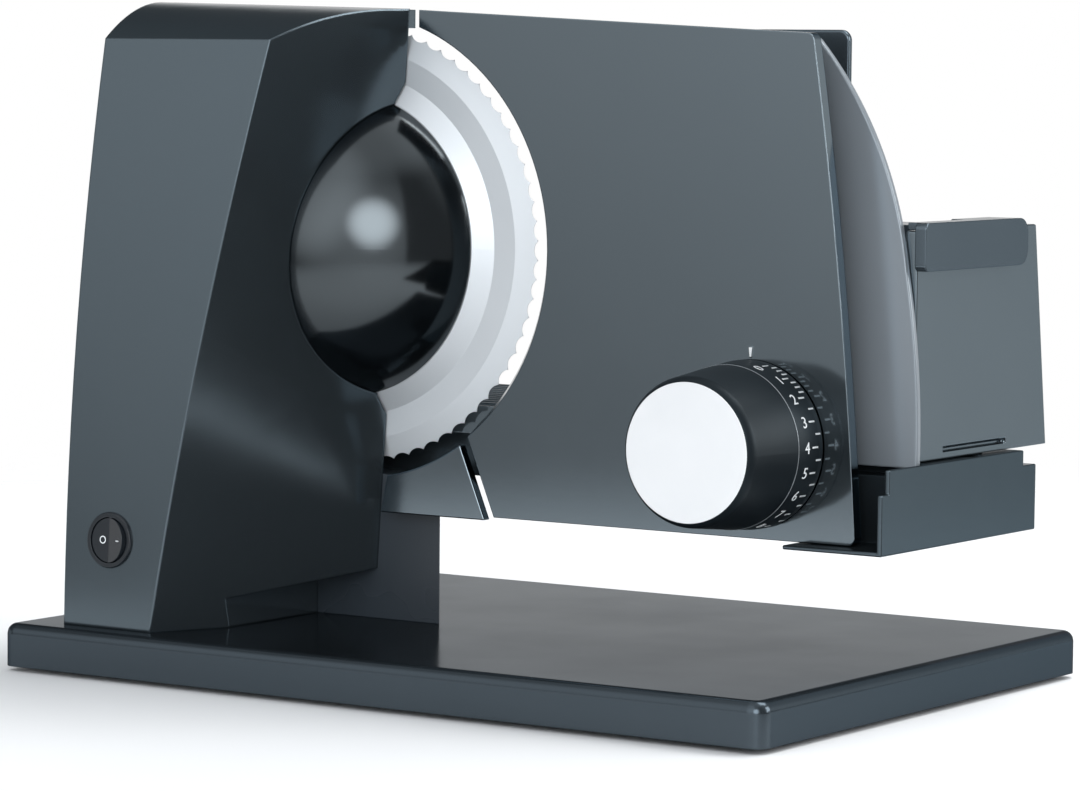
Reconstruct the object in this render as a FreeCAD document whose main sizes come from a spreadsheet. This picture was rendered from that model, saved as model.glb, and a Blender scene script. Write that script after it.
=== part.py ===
import FreeCAD, Part
import math
import os
from collections import namedtuple
from types import SimpleNamespace
import Sketcher

# Electric food slicer, in millimetres and degrees.
# +Z is up, +Y is the carriage side, +X is the operator's end.
# The origin is the middle of the footprint, on the surface that the feet stand on.

# Driving sizes: name, value, what it sets
SIZES = [
    # Base and feet
    ("base_long", 340, "base, end to end"),
    ("base_wide", 238, "base, front to rear"),
    ("base_high", 16.4, "height of the base's edge"),
    ("base_corner", 6, "corner radius of the base in plan"),
    ("base_round", 4, "rounding of the base's top edge"),
    ("base_wall", 4, "wall and top of the base"),
    ("under_thick", 2, "cover under the base"),
    ("foot_high", 2, "foot below the base"),
    ("foot_radius", 12, "foot's pad"),
    ("foot_stem", 5, "foot's stem through the cover"),
    ("foot_barb", 6.5, "head that holds the foot in the cover"),
    ("foot_inset", 40, "foot from the base's edges"),
    ("post_radius", 7, "screw post in the base"),
    ("post_inset", 18, "screw post from the base's edges"),
    ("seat_gap", 0.3, "room round a piece in its seat"),
    ("screw_radius", 1.9, "shank of a screw"),
    ("screw_head", 3.6, "head radius of a screw"),
    ("screw_head_high", 1.4, "head height of a screw"),
    ("screw_hole_gap", 0.1, "room round a screw's shank"),
    # Levels and planes that the upper works share
    ("cut_plane", 16, "plane of the cut, in front of the middle"),
    ("blade_in", 92.7, "blade's axis from the base's left end"),
    ("blade_up", 145.4, "blade's axis above the base"),
    # Blade
    ("blade_radius", 85, "tips of the blade"),
    ("blade_bevel_in", 76, "inner edge of the ground bevel"),
    ("blade_cone_out", 66.5, "outer edge of the raised centre"),
    ("blade_cone_in", 59, "flat of the raised centre"),
    ("blade_bore", 6, "bore of the blade"),
    ("blade_rim_up", 2.5, "rim's front above the cutting edge"),
    ("blade_raise", 6.8, "centre's front above the cutting edge"),
    ("blade_thick", 1.6, "thickness of the sheet"),
    ("blade_shy", 0.1, "cutting edge behind the plane of the cut"),
    ("scallops", 72, "scallops round the edge"),
    ("scallop_deep", 1.6, "depth of a scallop"),
    ("scallop_bend", 5.2, "radius of a scallop"),
    ("hub_radius", 20, "hub in front of the blade"),
    ("hub_long", 6.3, "hub, front to rear"),
    ("hub_sink", 1.3, "recess in the hub for the lock"),
    ("lock_radius", 22, "lock screw's head"),
    ("lock_high", 3.6, "lock screw's head, front to rear"),
    ("lock_gap", 0.1, "room round the lock's shank"),
    ("lock_slot", 3, "width of the coin slot"),
    # Blade guard
    ("guard_front", 3, "guard's face in front of the cut"),
    ("guard_thick", 6, "guard plate"),
    ("guard_gap", 2.3, "room round the blade's tips"),
    ("guard_in", 2, "guard's left edge from the base's end"),
    ("guard_tip", 25.1, "guard's upper tip, right of the blade's axis"),
    ("guard_heel", 17.7, "guard's lower end, left of the blade's axis"),
    # Motor tower
    ("tower_in", 20.5, "front left corner from the base's end"),
    ("tower_front_wide", 41.9, "front face, side to side at the bottom"),
    ("tower_deep", 87, "front corner to the guard"),
    ("tower_high", 224, "front face, bottom to top"),
    ("tower_lean_back", 22, "front's lean over its height"),
    ("tower_lean_side", 2.8, "left side's lean over the height"),
    ("tower_flare", 39.4, "front right edge's run over the height"),
    ("tower_back_in", 2, "rear left corner from the base's end"),
    ("tower_edge", 11.9, "rear right corner from the blade's axis"),
    ("tower_back_flare", 14, "rear right edge's run over the height"),
    ("front_bow", 3.2, "how far the front face bows out"),
    ("side_bow", 3.1, "how far the left side bows out"),
    ("tower_wall", 3, "wall of the housing"),
    ("tower_roof", 4.4, "roof at its front edge"),
    ("crown_rise", 15.2, "roof above the front face"),
    ("crown_bend", 152, "radius of the roof's bend on the right"),
    ("crown_bend_left", 98, "radius of the roof's bend on the left"),
    ("crown_deep", 60, "front to rear run of the bend"),
    ("crown_flat", 0.6, "rise of the roof behind the bend"),
    ("crown_fall", 2.5, "roof's fall from left to right"),
    ("alcove_in", 77, "alcove's side wall from the base's end"),
    ("alcove_deep", 59, "alcove, front to rear"),
    ("alcove_low", 11.3, "alcove's ceiling at its front"),
    ("alcove_tall", 19.6, "alcove's ceiling at its rear"),
    # Gear dome
    ("dome_radius", 62.3, "outside of the dome"),
    ("dome_wall", 2.5, "wall of the dome"),
    ("dome_centre", 13.3, "dome's centre behind the cut"),
    ("dome_edge", 7.3, "dome's edge in front of the cut"),
    ("dome_tuck", 8.5, "how far the dome reaches behind the tower's wall"),
    # Drive
    ("gear_plane", 30, "worm's axis in front of the cut"),
    ("wheel_teeth", 48, "teeth of the worm wheel"),
    ("wheel_pitch", 30, "pitch radius of the worm wheel"),
    ("wheel_face", 8, "width of the worm wheel"),
    ("worm_pitch", 8, "pitch radius of the worm"),
    ("worm_long", 32, "worm, bottom to top"),
    ("tooth_out", 1.2, "tooth above its pitch line"),
    ("tooth_in", 1.6, "tooth below its pitch line"),
    ("tooth_play", 0.4, "play beside a tooth"),
    ("shaft_radius", 5, "blade shaft"),
    ("shaft_gap", 0.05, "room round a turning shaft"),
    ("bush_wall", 3, "wall of a shaft bush"),
    ("rotor_radius", 4, "motor shaft"),
    ("motor_radius", 25.5, "motor can"),
    ("motor_long", 66, "motor can, bottom to top"),
    ("motor_wall", 1.5, "wall of the motor can"),
    ("magnet_thick", 5.5, "magnets in the can"),
    ("armature_gap", 0.5, "air gap of the motor"),
    ("armature_long", 40, "armature's core"),
    ("commutator_radius", 9, "commutator"),
    ("commutator_long", 8, "commutator, bottom to top"),
    ("plate_thick", 4, "plates of the gear bracket"),
    ("plate_back", 11, "bracket's rear plate behind the worm"),
    ("plate_front", 10.5, "bracket's front plate before the worm"),
    ("plate_tall", 30, "bracket's rear plate, bottom to top"),
    ("neck_tall", 18, "bracket's front plate, bottom to top"),
    ("web_in", 22, "bracket's upright from the base's end"),
    ("shelf_up", 89.6, "motor shelf above the base"),
    ("shelf_reach", 23, "motor shelf beyond the motor's axis"),
    ("shelf_deep", 39, "motor shelf, front to rear"),
    ("top_shelf_up", 186.6, "top shelf above the base"),
    ("top_shelf_reach", 12, "top shelf beyond the motor's axis"),
    ("foot_long", 48, "bracket's foot, left to right"),
    # Column and lower plate
    ("column_in", 10, "column's left side from the base's end"),
    ("column_reach", 42.6, "column's front edge right of the blade's axis"),
    ("column_taper", 47.3, "column's right side, run to the left"),
    ("column_mid", 67, "column's right side, front to rear"),
    ("column_deep", 79, "column's left side, front to rear"),
    ("column_high", 56.6, "column above the base"),
    ("lower_front", 12, "lower plate's face in front of the cut"),
    ("lower_thick", 4, "lower plate"),
    ("lower_left", 20.8, "lower plate's left end from the blade's axis"),
    ("lower_right", 69.4, "lower plate's right end from the blade's axis"),
    ("lower_up", 42.8, "lower plate's bottom above the base"),
    ("lower_arc", 89.5, "radius of the lower plate's upper edge"),
    ("lower_arc_left", 23.8, "arc's left end from the blade's axis"),
    ("lower_arc_right", 57.7, "arc's right end from the blade's axis"),
    # Rail
    ("rail_in", 5, "rail's left end from the base's end"),
    ("rail_long", 291, "rail, end to end"),
    ("rail_front", 14.4, "rail's front behind the cut"),
    ("rail_wide", 72, "rail's top, front to rear"),
    ("rail_step_wide", 10.1, "step behind the rail's top"),
    ("rail_step_drop", 5.8, "step below the rail's top"),
    ("rail_high", 16.4, "rail, bottom to top"),
    ("slot_set", 33.6, "slot's neck behind the rail's front"),
    ("slot_neck", 10, "width of the slot's neck"),
    ("slot_foot", 18, "width of the slot's foot"),
    ("slot_neck_deep", 5, "depth of the slot's neck"),
    ("slot_deep", 11.4, "depth of the slot"),
    ("cap_long", 42, "rail's end cap"),
    ("cap_plate", 2, "end plate of the cap"),
    ("cap_drop", 14.2, "cap's bottom below the rail's"),
    ("cap_shelf", 4, "cap's front ledge behind the cut"),
    ("cap_shelf_drop", 4.4, "ledge below the rail's top"),
    ("cap_nose", 21.8, "end plate's nose in front of the cut"),
    ("cap_nose_high", 22, "end plate's nose, bottom to top"),
    ("cap_nose_step", 5.2, "end plate's set back above the nose"),
    ("cap_lip", 1.6, "lip under the thickness plate"),
    # Thickness plate
    ("stop_thick", 12, "thickness plate, front to rear"),
    ("stop_wall", 3, "wall of the thickness plate"),
    ("stop_gap", 3.9, "thickness plate's arc outside the blade"),
    ("stop_shear", 8.1, "arc's shift from rear to front"),
    ("stop_left", 29.4, "rear left edge from the blade's axis"),
    ("stop_top_left", 235.9, "top left corner above the base"),
    ("stop_top_right", 228, "top right corner above the base"),
    ("stop_up", 44.2, "bottom edge above the base"),
    ("stop_right_top", 303.5, "top right corner from the base's end"),
    ("stop_right_low", 323.6, "bottom right corner from the base's end"),
    ("stop_toe", 73.8, "bottom left corner from the blade's axis"),
    ("stop_notch_front", 61.3, "arc's lower end in front, from the axis"),
    ("stop_notch_rear", 58.8, "arc's lower end at the rear, from the axis"),
    ("stop_bow", 2.3, "how far the right edge bows out"),
    ("stop_rim", 5, "rim at the right edge, front to rear"),
    ("stop_set_in", 6, "box behind the rim, drawn in from the right edge"),
    ("stop_corner", 3, "rounding of the right corners"),
    ("panel_thick", 3, "rear panel of the thickness plate"),
    ("groove_pitch", 8, "spacing of the panel's grooves"),
    ("groove_wide", 3, "width of a groove"),
    ("groove_deep", 0.8, "depth of a groove"),
    ("grooves", 20, "grooves in the panel"),
    ("rod_radius", 4, "guide rods of the thickness plate"),
    ("rod_reach", 40, "guide rods behind the cut"),
    ("rod_boss", 8, "boss round a guide rod"),
    ("rod_left", 180, "left rod from the base's end"),
    ("rod_right", 260, "right rod from the base's end"),
    ("rod_up", 64.6, "rods above the base"),
    # Thickness dial
    ("dial_in", 279.2, "dial's axis from the base's end"),
    ("dial_up", 78.6, "dial's axis above the base"),
    ("dial_gap", 0.6, "dial in front of the plate"),
    ("dial_long", 44, "dial, front to rear"),
    ("dial_rim", 31, "scale ring at its rear"),
    ("dial_rim_front", 29.9, "scale ring at its front"),
    ("dial_core", 28.6, "seat of the scale ring"),
    ("dial_front", 27.4, "dial before its bevel"),
    ("dial_disc", 25.3, "disc in the dial's face"),
    ("dial_bevel", 4.2, "length of the bevel"),
    ("dial_disc_thick", 1.2, "thickness of the disc"),
    ("dial_wall", 2.4, "wall of the dial"),
    ("ring_long", 15, "scale ring, front to rear"),
    ("mark_wide", 1.6, "pointer mark over the dial, at its top"),
    ("mark_high", 3.6, "pointer mark, bottom to top"),
    ("mark_lift", 0.9, "pointer mark above the dial's rim"),
    ("hub_out", 10, "dial's hub"),
    ("hub_back", 4.6, "hub behind the plate's face"),
    ("clip_groove", 1, "depth of the clip's groove"),
    ("clip_thick", 0.8, "clip"),
    ("clip_out", 13, "clip's outside"),
    ("spindle_radius", 5, "spindle of the dial"),
    ("spindle_short", 6, "spindle's end behind the dial's face"),
    ("bracket_gap", 0.4, "spindle bracket behind the cut"),
    ("bracket_thick", 2.8, "spindle bracket's plate"),
    ("bracket_half", 12, "half the bracket's width"),
    ("bracket_pad", 12, "bracket's pad, bottom to top"),
    # Carriage
    ("run_gap", 0.4, "room round the running carriage"),
    ("floor_in", 75, "carriage floor's left end from the base's end"),
    ("floor_long", 255, "carriage floor, left to right"),
    ("floor_front", 3.6, "carriage floor's edge behind the cut"),
    ("floor_deep", 101.4, "carriage floor, front to rear"),
    ("floor_up", 7.9, "carriage floor's underside above the rail"),
    ("floor_thick", 3, "carriage floor"),
    ("floor_rib", 1, "height and width of a rib"),
    ("rib_pitch", 8, "spacing of the ribs"),
    ("ribs", 12, "ribs on the floor"),
    ("skirt_high", 7, "skirt under the floor's front"),
    ("skirt_thick", 2.5, "skirt, front to rear"),
    ("shoe_in", 210, "shoe's left end from the base's end"),
    ("shoe_long", 110, "shoe, left to right"),
    ("shoe_lift", 0.5, "shoe above the rail"),
    ("shoe_lip", 4.1, "lip behind the rail"),
    ("wall_thick", 5, "carriage wall"),
    ("wall_high", 83.9, "carriage wall, bottom to top"),
    ("wall_lift", 0.4, "carriage wall above the rail"),
    ("wall_low_deep", 103.4, "carriage wall at its bottom, front to rear"),
    ("wall_top_deep", 92.4, "carriage wall at its top, front to rear"),
    ("wall_slot", 1.8, "slot in the carriage wall, bottom to top"),
    ("wall_slot_up", 2.4, "slot above the wall's bottom"),
    ("wall_slot_in", 22, "slot behind the wall's front"),
    ("wall_slot_long", 48, "slot, front to rear"),
    ("wall_slot_cut", 2, "depth of the slot in the wall"),
    ("shield_front", 7.6, "thumb shield behind the cut"),
    ("shield_thick", 3, "thumb shield"),
    ("shield_in", 270, "shield's left edge from the base's end"),
    ("shield_low", 337.6, "shield's lower right corner from the base's end"),
    ("shield_mid", 332.2, "start of the shield's bend from the base's end"),
    ("shield_top", 294.8, "end of the shield's bend from the base's end"),
    ("shield_up", 71.6, "shield's bottom above the base"),
    ("shield_mid_up", 142.6, "start of the bend above the base"),
    ("shield_top_up", 225.6, "end of the bend above the base"),
    ("shield_high_up", 228.1, "shield's top above the base"),
    ("shield_bend", 150, "radius of the shield's bend"),
    ("shield_bow", 1.8, "how far the shield's lower edge bows out"),
    # Pusher
    ("hook_front", 7.6, "hook's front behind the cut"),
    ("hook_long", 79.4, "hook along the carriage wall"),
    ("hook_thick", 2.6, "top of the hook"),
    ("hook_out", 4.6, "outer leg of the hook"),
    ("hook_in", 3.6, "inner leg of the hook"),
    ("hook_low", 17.5, "outer leg, bottom to top"),
    ("hook_corner", 6, "outer leg's rounded corners"),
    ("hook_nose", 2.4, "rounding of the hook's front"),
    ("hook_clear", 1.6, "hook's front part clear of the shield"),
    ("hook_set", 44.4, "inner leg behind the hook's front"),
    ("pusher_left", 158, "pusher plate's left edge from the base's end"),
    ("pusher_wide", 127, "pusher plate, side to side"),
    ("pusher_front", 46, "pusher plate behind the cut"),
    ("pusher_thick", 3, "pusher plate"),
    ("pusher_up", 86.6, "pusher plate's bottom above the base"),
    ("pusher_high", 143, "pusher plate, bottom to top"),
    ("pusher_corner", 4, "corners of the pusher plate"),
    ("arm_deep", 27, "pusher's arm, front to rear"),
    ("spike_long", 5, "spikes of the pusher"),
    ("spike_radius", 1, "spike"),
    ("spike_columns", 5, "spikes side by side"),
    ("spike_rows", 4, "rows of spikes"),
    ("spike_pitch", 18, "spacing of the spikes"),
    ("grip_radius", 14, "grip behind the pusher"),
    ("grip_long", 30, "grip, front to rear"),
    # Switch and cord inlet
    ("switch_right", 21.5, "switch from the tower's left edge"),
    ("switch_up", 33.6, "switch above the base"),
    ("bezel_radius", 10.7, "bezel's flange"),
    ("bezel_proud", 1.2, "bezel's flange, front to rear"),
    ("bezel_barrel", 9.6, "bezel's barrel"),
    ("bezel_bore", 8.8, "bezel's bore"),
    ("bezel_long", 8, "bezel's barrel, front to rear"),
    ("rocker_radius", 8.5, "rocker"),
    ("rocker_ridge", 0.8, "rocker's middle in front of its pivot"),
    ("rocker_fall", 1.6, "slope of the rocker's halves"),
    ("rocker_back", 3.5, "rocker behind its pivot"),
    ("rocker_tilt", 8, "rocker's tilt at rest"),
    ("pivot_radius", 0.8, "rocker's pivot pins"),
    ("pivot_out", 0.4, "pins beyond the rocker"),
    ("pivot_gap", 0.06, "room round a pin"),
    ("switch_long", 14, "switch body, front to rear"),
    ("inlet_up", 7.2, "cord inlet above the base's lower edge"),
    ("inlet_back", 40, "cord inlet behind the middle"),
    ("inlet_flange", 5.2, "inlet's flange"),
    ("inlet_barrel", 4.2, "inlet's barrel"),
    ("inlet_bore", 3.2, "inlet's bore"),
    ("inlet_lip", 1.5, "inlet's flange, thickness"),
    ("wire_hole", 6, "hole for the wires under the tower"),
]

UP = FreeCAD.Vector(0, 0, 1)
doc = FreeCAD.newDocument("FoodSlicer")
sheet = doc.addObject("Spreadsheet::Sheet", "Sizes")


class Size:
    """A number together with the formula on the sheet's cells that gives it."""

    def __init__(self, value, formula):
        self.value = float(value)
        self.formula = formula

    def __add__(self, other):
        other = as_size(other)
        return Size(self.value + other.value, f"({self.formula} + {other.formula})")

    def __sub__(self, other):
        other = as_size(other)
        return Size(self.value - other.value, f"({self.formula} - {other.formula})")

    def __mul__(self, other):
        other = as_size(other)
        return Size(self.value * other.value, f"({self.formula} * {other.formula})")

    def __truediv__(self, other):
        other = as_size(other)
        return Size(self.value / other.value, f"({self.formula} / {other.formula})")

    def __radd__(self, other):
        return as_size(other) + self

    def __rsub__(self, other):
        return as_size(other) - self

    def __rmul__(self, other):
        return as_size(other) * self

    def __neg__(self):
        return Size(-self.value, f"(0 - {self.formula})")


def as_size(number):
    """Give a plain number its own formula, and leave a size as it is."""
    if isinstance(number, Size):
        return number
    return Size(number, f"({number})")


def root(size):
    """Square root of a size."""
    return Size(math.sqrt(size.value), f"sqrt({size.formula})")


def sine(angle):
    """Sine of an angle in degrees."""
    return Size(math.sin(math.radians(angle.value)), f"sin({angle.formula})")


def cosine(angle):
    """Cosine of an angle in degrees."""
    return Size(math.cos(math.radians(angle.value)), f"cos({angle.formula})")


def slope_angle(rise, run):
    """Angle in degrees of a slope."""
    return Size(math.degrees(math.atan(rise.value / run.value)), f"atan({rise.formula} / {run.formula})")


def circle_height(radius, offset):
    """How far a circle is from its own middle line, at an offset along that line."""
    return root(radius * radius - offset * offset)


def bow_radius(rise, run, bow):
    """Radius of an edge that bows out between its ends."""
    return (rise * rise + run * run) / (8 * bow) + bow / 2


def fill_sheet():
    """Write the driving sizes into the sheet and return them by name."""
    found = {}
    for row, (name, value, note) in enumerate(SIZES, 1):
        sheet.set(f"A{row}", name)
        sheet.set(f"B{row}", str(value))
        sheet.set(f"C{row}", note)
        sheet.setAlias(f"B{row}", name)
        found[name] = Size(value, f"Sizes.{name}")
    doc.recompute()
    return SimpleNamespace(**found)


S = fill_sheet()

# Outlines: a corner is (x, y), or (x, y, bend) where an arc of that radius leads to the next
# corner, turning left if the bend is positive and right if it is negative
Circle = namedtuple("Circle", "x y radius")


def rectangle(x0, y0, x1, y1):
    """Outline of a rectangle."""
    return [(x0, y0), (x1, y0), (x1, y1), (x0, y1)]


def rounded(x0, y0, x1, y1, bend):
    """Outline of a rectangle with round corners."""
    return [
        (x1 - bend, y0, bend), (x1, y0 + bend),
        (x1, y1 - bend, bend), (x1 - bend, y1),
        (x0 + bend, y1, bend), (x0, y1 - bend),
        (x0, y0 + bend, bend), (x0 + bend, y0),
    ]


def along(start, end, y):
    """X of the line through two points of a plan, at a given Y."""
    return start[0] + (end[0] - start[0]) * (y - start[1]) / (end[1] - start[1])


def tie(sketch, kind, edge, end, size):
    """Hold one point of an edge at a distance from the sketch's origin."""
    rule = sketch.addConstraint(Sketcher.Constraint(kind, -1, 1, edge, end, size.value))
    sketch.setExpression(f"Constraints[{rule}]", size.formula)


def tie_radius(sketch, edge, size):
    """Hold the radius of an arc or circle."""
    rule = sketch.addConstraint(Sketcher.Constraint("Radius", edge, size.value))
    sketch.setExpression(f"Constraints[{rule}]", size.formula)


def draw_circle(sketch, circle):
    """Draw a circle and tie its middle and radius."""
    x, y, radius = (as_size(part) for part in circle)
    middle = FreeCAD.Vector(x.value, y.value, 0)
    edge = sketch.addGeometry(Part.Circle(middle, UP, radius.value), False)
    tie(sketch, "DistanceX", edge, 3, x)
    tie(sketch, "DistanceY", edge, 3, y)
    tie_radius(sketch, edge, radius)


def bent_edge(start, end, bend):
    """Arc between two points, with the ends that its run from start to end has."""
    chord = end - start
    half = chord.Length / 2
    aside = FreeCAD.Vector(-chord.y, chord.x, 0).normalize() * math.sqrt(bend * bend - half * half)
    middle = (start + end) / 2 + (aside if bend > 0 else -aside)
    first, last = (start, end) if bend > 0 else (end, start)
    angles = [math.atan2(point.y - middle.y, point.x - middle.x) for point in (first, last)]
    arc = Part.ArcOfCircle(Part.Circle(middle, UP, abs(bend)), *angles)
    return arc, (1, 2) if bend > 0 else (2, 1)


def draw_outline(sketch, corners):
    """Draw a closed outline and tie its corners and bends."""
    points = [FreeCAD.Vector(as_size(c[0]).value, as_size(c[1]).value, 0) for c in corners]
    edges = []
    for index, corner in enumerate(corners):
        start = points[index]
        end = points[(index + 1) % len(points)]
        if len(corner) == 3:
            shape, ends = bent_edge(start, end, as_size(corner[2]).value)
        else:
            shape, ends = Part.LineSegment(start, end), (1, 2)
        edges.append((sketch.addGeometry(shape, False), ends))
    joints = []
    for (edge, ends), (following, next_ends) in zip(edges, edges[1:] + edges[:1]):
        joints.append(Sketcher.Constraint("Coincident", edge, ends[1], following, next_ends[0]))
    sketch.addConstraint(joints)
    for (edge, ends), corner in zip(edges, corners):
        tie(sketch, "DistanceX", edge, ends[0], as_size(corner[0]))
        tie(sketch, "DistanceY", edge, ends[0], as_size(corner[1]))
        if len(corner) == 3:
            bend = as_size(corner[2])
            tie_radius(sketch, edge, bend if bend.value > 0 else -bend)


class Piece:
    """One sub-part of the slicer, with short ways to add its sketches and features."""

    made = []

    def __init__(self, label):
        self.body = doc.addObject("PartDesign::Body", label)
        self.body.Label = label
        self.body.AllowCompound = True
        self.steps = 0
        Piece.made.append(self.body)

    def datum(self, role):
        """Plane or axis of the piece's own origin."""
        return next(part for part in self.body.Origin.OriginFeatures if part.Role == role)

    def name(self, word):
        """Name for the next feature or sketch."""
        self.steps += 1
        return f"{self.body.Label}_{word}{self.steps}"

    def place(self, x, y, z):
        """Put the piece's own origin at a point."""
        for axis, size in zip("xyz", (x, y, z)):
            self.body.setExpression(f"Placement.Base.{axis}", as_size(size).formula)

    def lean(self, axis, angle):
        """Turn the piece about an axis through its own origin."""
        self.body.Placement.Rotation = FreeCAD.Rotation(axis, angle.value)
        self.body.setExpression("Placement.Rotation.Angle", angle.formula)

    def sketch(self, view, loops, level, at=(0, 0)):
        """Draw loops on the plane of a view, at a level and about a point of that plane."""
        sketch = self.body.newObject("Sketcher::SketchObject", self.name("sketch"))
        sketch.AttachmentSupport = [(self.datum(f"{view}_Plane"), "")]
        sketch.MapMode = "FlatFace"
        level = as_size(level)
        lift = -level if view == "XZ" else level
        for axis, size in zip("xyz", (at[0], at[1], lift)):
            sketch.setExpression(f"AttachmentOffset.Base.{axis}", as_size(size).formula)
        for loop in loops:
            if isinstance(loop, Circle):
                draw_circle(sketch, loop)
            else:
                draw_outline(sketch, loop)
        return sketch

    def feature(self, kind, word, sketch):
        """Add a feature made from a sketch."""
        feature = self.body.newObject(f"PartDesign::{kind}", self.name(word))
        feature.Profile = sketch
        sketch.Visibility = False
        return feature

    def pad(self, view, loops, low, high):
        """Add the inside of the loops between two levels of a view."""
        sketch = self.sketch(view, loops, high if view == "XZ" else low)
        pad = self.feature("Pad", "pad", sketch)
        pad.setExpression("Length", (as_size(high) - low).formula)
        return pad

    def pocket(self, view, loops, low, high):
        """Cut the inside of the loops away between two levels of a view."""
        sketch = self.sketch(view, loops, low if view == "XZ" else high)
        pocket = self.feature("Pocket", "pocket", sketch)
        pocket.setExpression("Length", (as_size(high) - low).formula)
        return pocket

    def turn(self, loops, view="XY", level=0, at=(0, 0), axis="V_Axis"):
        """Add the loops turned about an axis of their sketch."""
        sketch = self.sketch(view, loops, level, at)
        turned = self.feature("Revolution", "turn", sketch)
        turned.ReferenceAxis = (sketch, [axis])
        return turned

    def groove(self, loops, view="XY", level=0, at=(0, 0), axis="V_Axis"):
        """Cut away the loops turned about an axis of their sketch."""
        sketch = self.sketch(view, loops, level, at)
        groove = self.feature("Groove", "groove", sketch)
        groove.ReferenceAxis = (sketch, [axis])
        return groove

    def loft(self, view, low, low_loop, high, high_loop, cut=False):
        """Join two outlines at two levels by straight lines, as material or as a cut."""
        first = self.sketch(view, [low_loop], low)
        last = self.sketch(view, [high_loop], high)
        kind = "SubtractiveLoft" if cut else "AdditiveLoft"
        loft = self.feature(kind, "loft", first)
        loft.Sections = [last]
        loft.Ruled = True
        return loft

    def fillet(self, radius, choose):
        """Round the edges that a test picks."""
        doc.recompute()
        base = self.body.Tip
        edges = [f"Edge{number}" for number, edge in enumerate(base.Shape.Edges, 1) if choose(edge)]
        fillet = self.body.newObject("PartDesign::Fillet", self.name("fillet"))
        fillet.Base = (base, edges)
        fillet.setExpression("Radius", radius.formula)
        return fillet

    def repeat_round(self, feature, axis, count):
        """Repeat a feature evenly round an axis of the piece's origin."""
        pattern = self.body.newObject("PartDesign::PolarPattern", self.name("ring"))
        pattern.Originals = [feature]
        pattern.Axis = (self.datum(axis), [""])
        pattern.Angle = 360
        pattern.setExpression("Occurrences", count.formula)
        self.body.Tip = pattern
        return pattern

    def repeat_along(self, feature, axis, pitch, count):
        """Repeat a feature in a row along an axis of the piece's origin."""
        pattern = self.body.newObject("PartDesign::LinearPattern", self.name("row"))
        pattern.Originals = [feature]
        pattern.Direction = (self.datum(axis), [""])
        pattern.setExpression("Length", (pitch * (count - 1)).formula)
        pattern.setExpression("Occurrences", count.formula)
        self.body.Tip = pattern
        return pattern


def level_edge(edge, axis, size):
    """Whether an edge lies wholly at one height along an axis."""
    return all(abs(getattr(v.Point, axis) - size.value) < 0.01 for v in edge.Vertexes)


def straight_along(edge, axis):
    """Whether an edge runs straight along an axis."""
    if len(edge.Vertexes) != 2:
        return False
    run = edge.Vertexes[1].Point - edge.Vertexes[0].Point
    return abs(getattr(run, axis)) > run.Length * 0.999


# Places that several pieces share
half_long = S.base_long / 2
half_wide = S.base_wide / 2
left = -half_long
base_top = S.foot_high + S.base_high
cover_top = S.foot_high + S.under_thick
cut_y = -S.cut_plane
blade_x = left + S.blade_in
blade_z = base_top + S.blade_up
edge_y = cut_y + S.blade_shy
guard_y = cut_y - S.guard_front
guard_back = guard_y + S.guard_thick
tower_y = guard_y - S.tower_deep
dome_y = cut_y + S.dome_centre
dome_edge_y = cut_y - S.dome_edge
column_top = base_top + S.column_high
rail_left = left + S.rail_in
rail_right = rail_left + S.rail_long
rail_y = cut_y + S.rail_front
rail_back = rail_y + S.rail_wide
rail_top = column_top + S.rail_high
worm_x = blade_x - S.wheel_pitch - S.worm_pitch
worm_y = cut_y - S.gear_plane
shelf_z = base_top + S.shelf_up
motor_low = shelf_z - S.motor_long
top_shelf_z = base_top + S.top_shelf_up
plate_y = worm_y + S.plate_back
neck_y = worm_y - S.plate_front
web_x = left + S.web_in
dial_x = left + S.dial_in
dial_z = base_top + S.dial_up
stop_y = cut_y - S.stop_thick
rod_z = base_top + S.rod_up
rod_xs = [left + S.rod_left, left + S.rod_right]
screw_hole = S.screw_radius + S.screw_hole_gap
inlet_y = S.inlet_back
inlet_z = S.foot_high + S.inlet_up
foot_places = [(x * (half_long - S.foot_inset), y * (half_wide - S.foot_inset))
               for x in (-1, 1) for y in (-1, 1)]
post_places = [(x * (half_long - S.post_inset), y * (half_wide - S.post_inset))
               for x in (-1, 1) for y in (-1, 1)]


def circles(places, radius):
    """Equal circles at several places."""
    return [Circle(x, y, radius) for x, y in places]


# Base

def base_plate():
    """Moulded tray with a closed top, walls and screw posts."""
    piece = Piece("base_plate")
    outline = rounded(-half_long, -half_wide, half_long, half_wide, S.base_corner)
    piece.pad("XY", [outline], S.foot_high, base_top)
    piece.fillet(S.base_round, lambda edge: level_edge(edge, "z", base_top))
    x = half_long - S.base_wall
    y = half_wide - S.base_wall
    bend = S.base_corner - S.base_wall
    hollow = [rounded(-x, -y, x, y, bend)] + circles(post_places, S.post_radius)
    piece.pocket("XY", hollow, S.foot_high, base_top - S.base_wall)
    piece.pocket("XY", circles(post_places, S.post_radius), S.foot_high, cover_top)
    piece.pocket("XY", circles(post_places, screw_hole), cover_top, base_top - S.base_wall)
    piece.pocket("XY", circles(bracket_screw_places(), screw_hole), base_top - S.base_wall, base_top)
    wires = Circle(web_x + S.foot_long / 2, worm_y - S.shelf_deep, S.wire_hole)
    piece.pocket("XY", [wires], base_top - S.base_wall, base_top)
    seat = left + S.inlet_lip
    piece.pocket("YZ", [Circle(inlet_y, inlet_z, S.inlet_flange + S.seat_gap)], left, seat)
    piece.pocket("YZ", [Circle(inlet_y, inlet_z, S.inlet_barrel + S.seat_gap)], seat, left + S.base_wall)


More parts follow.
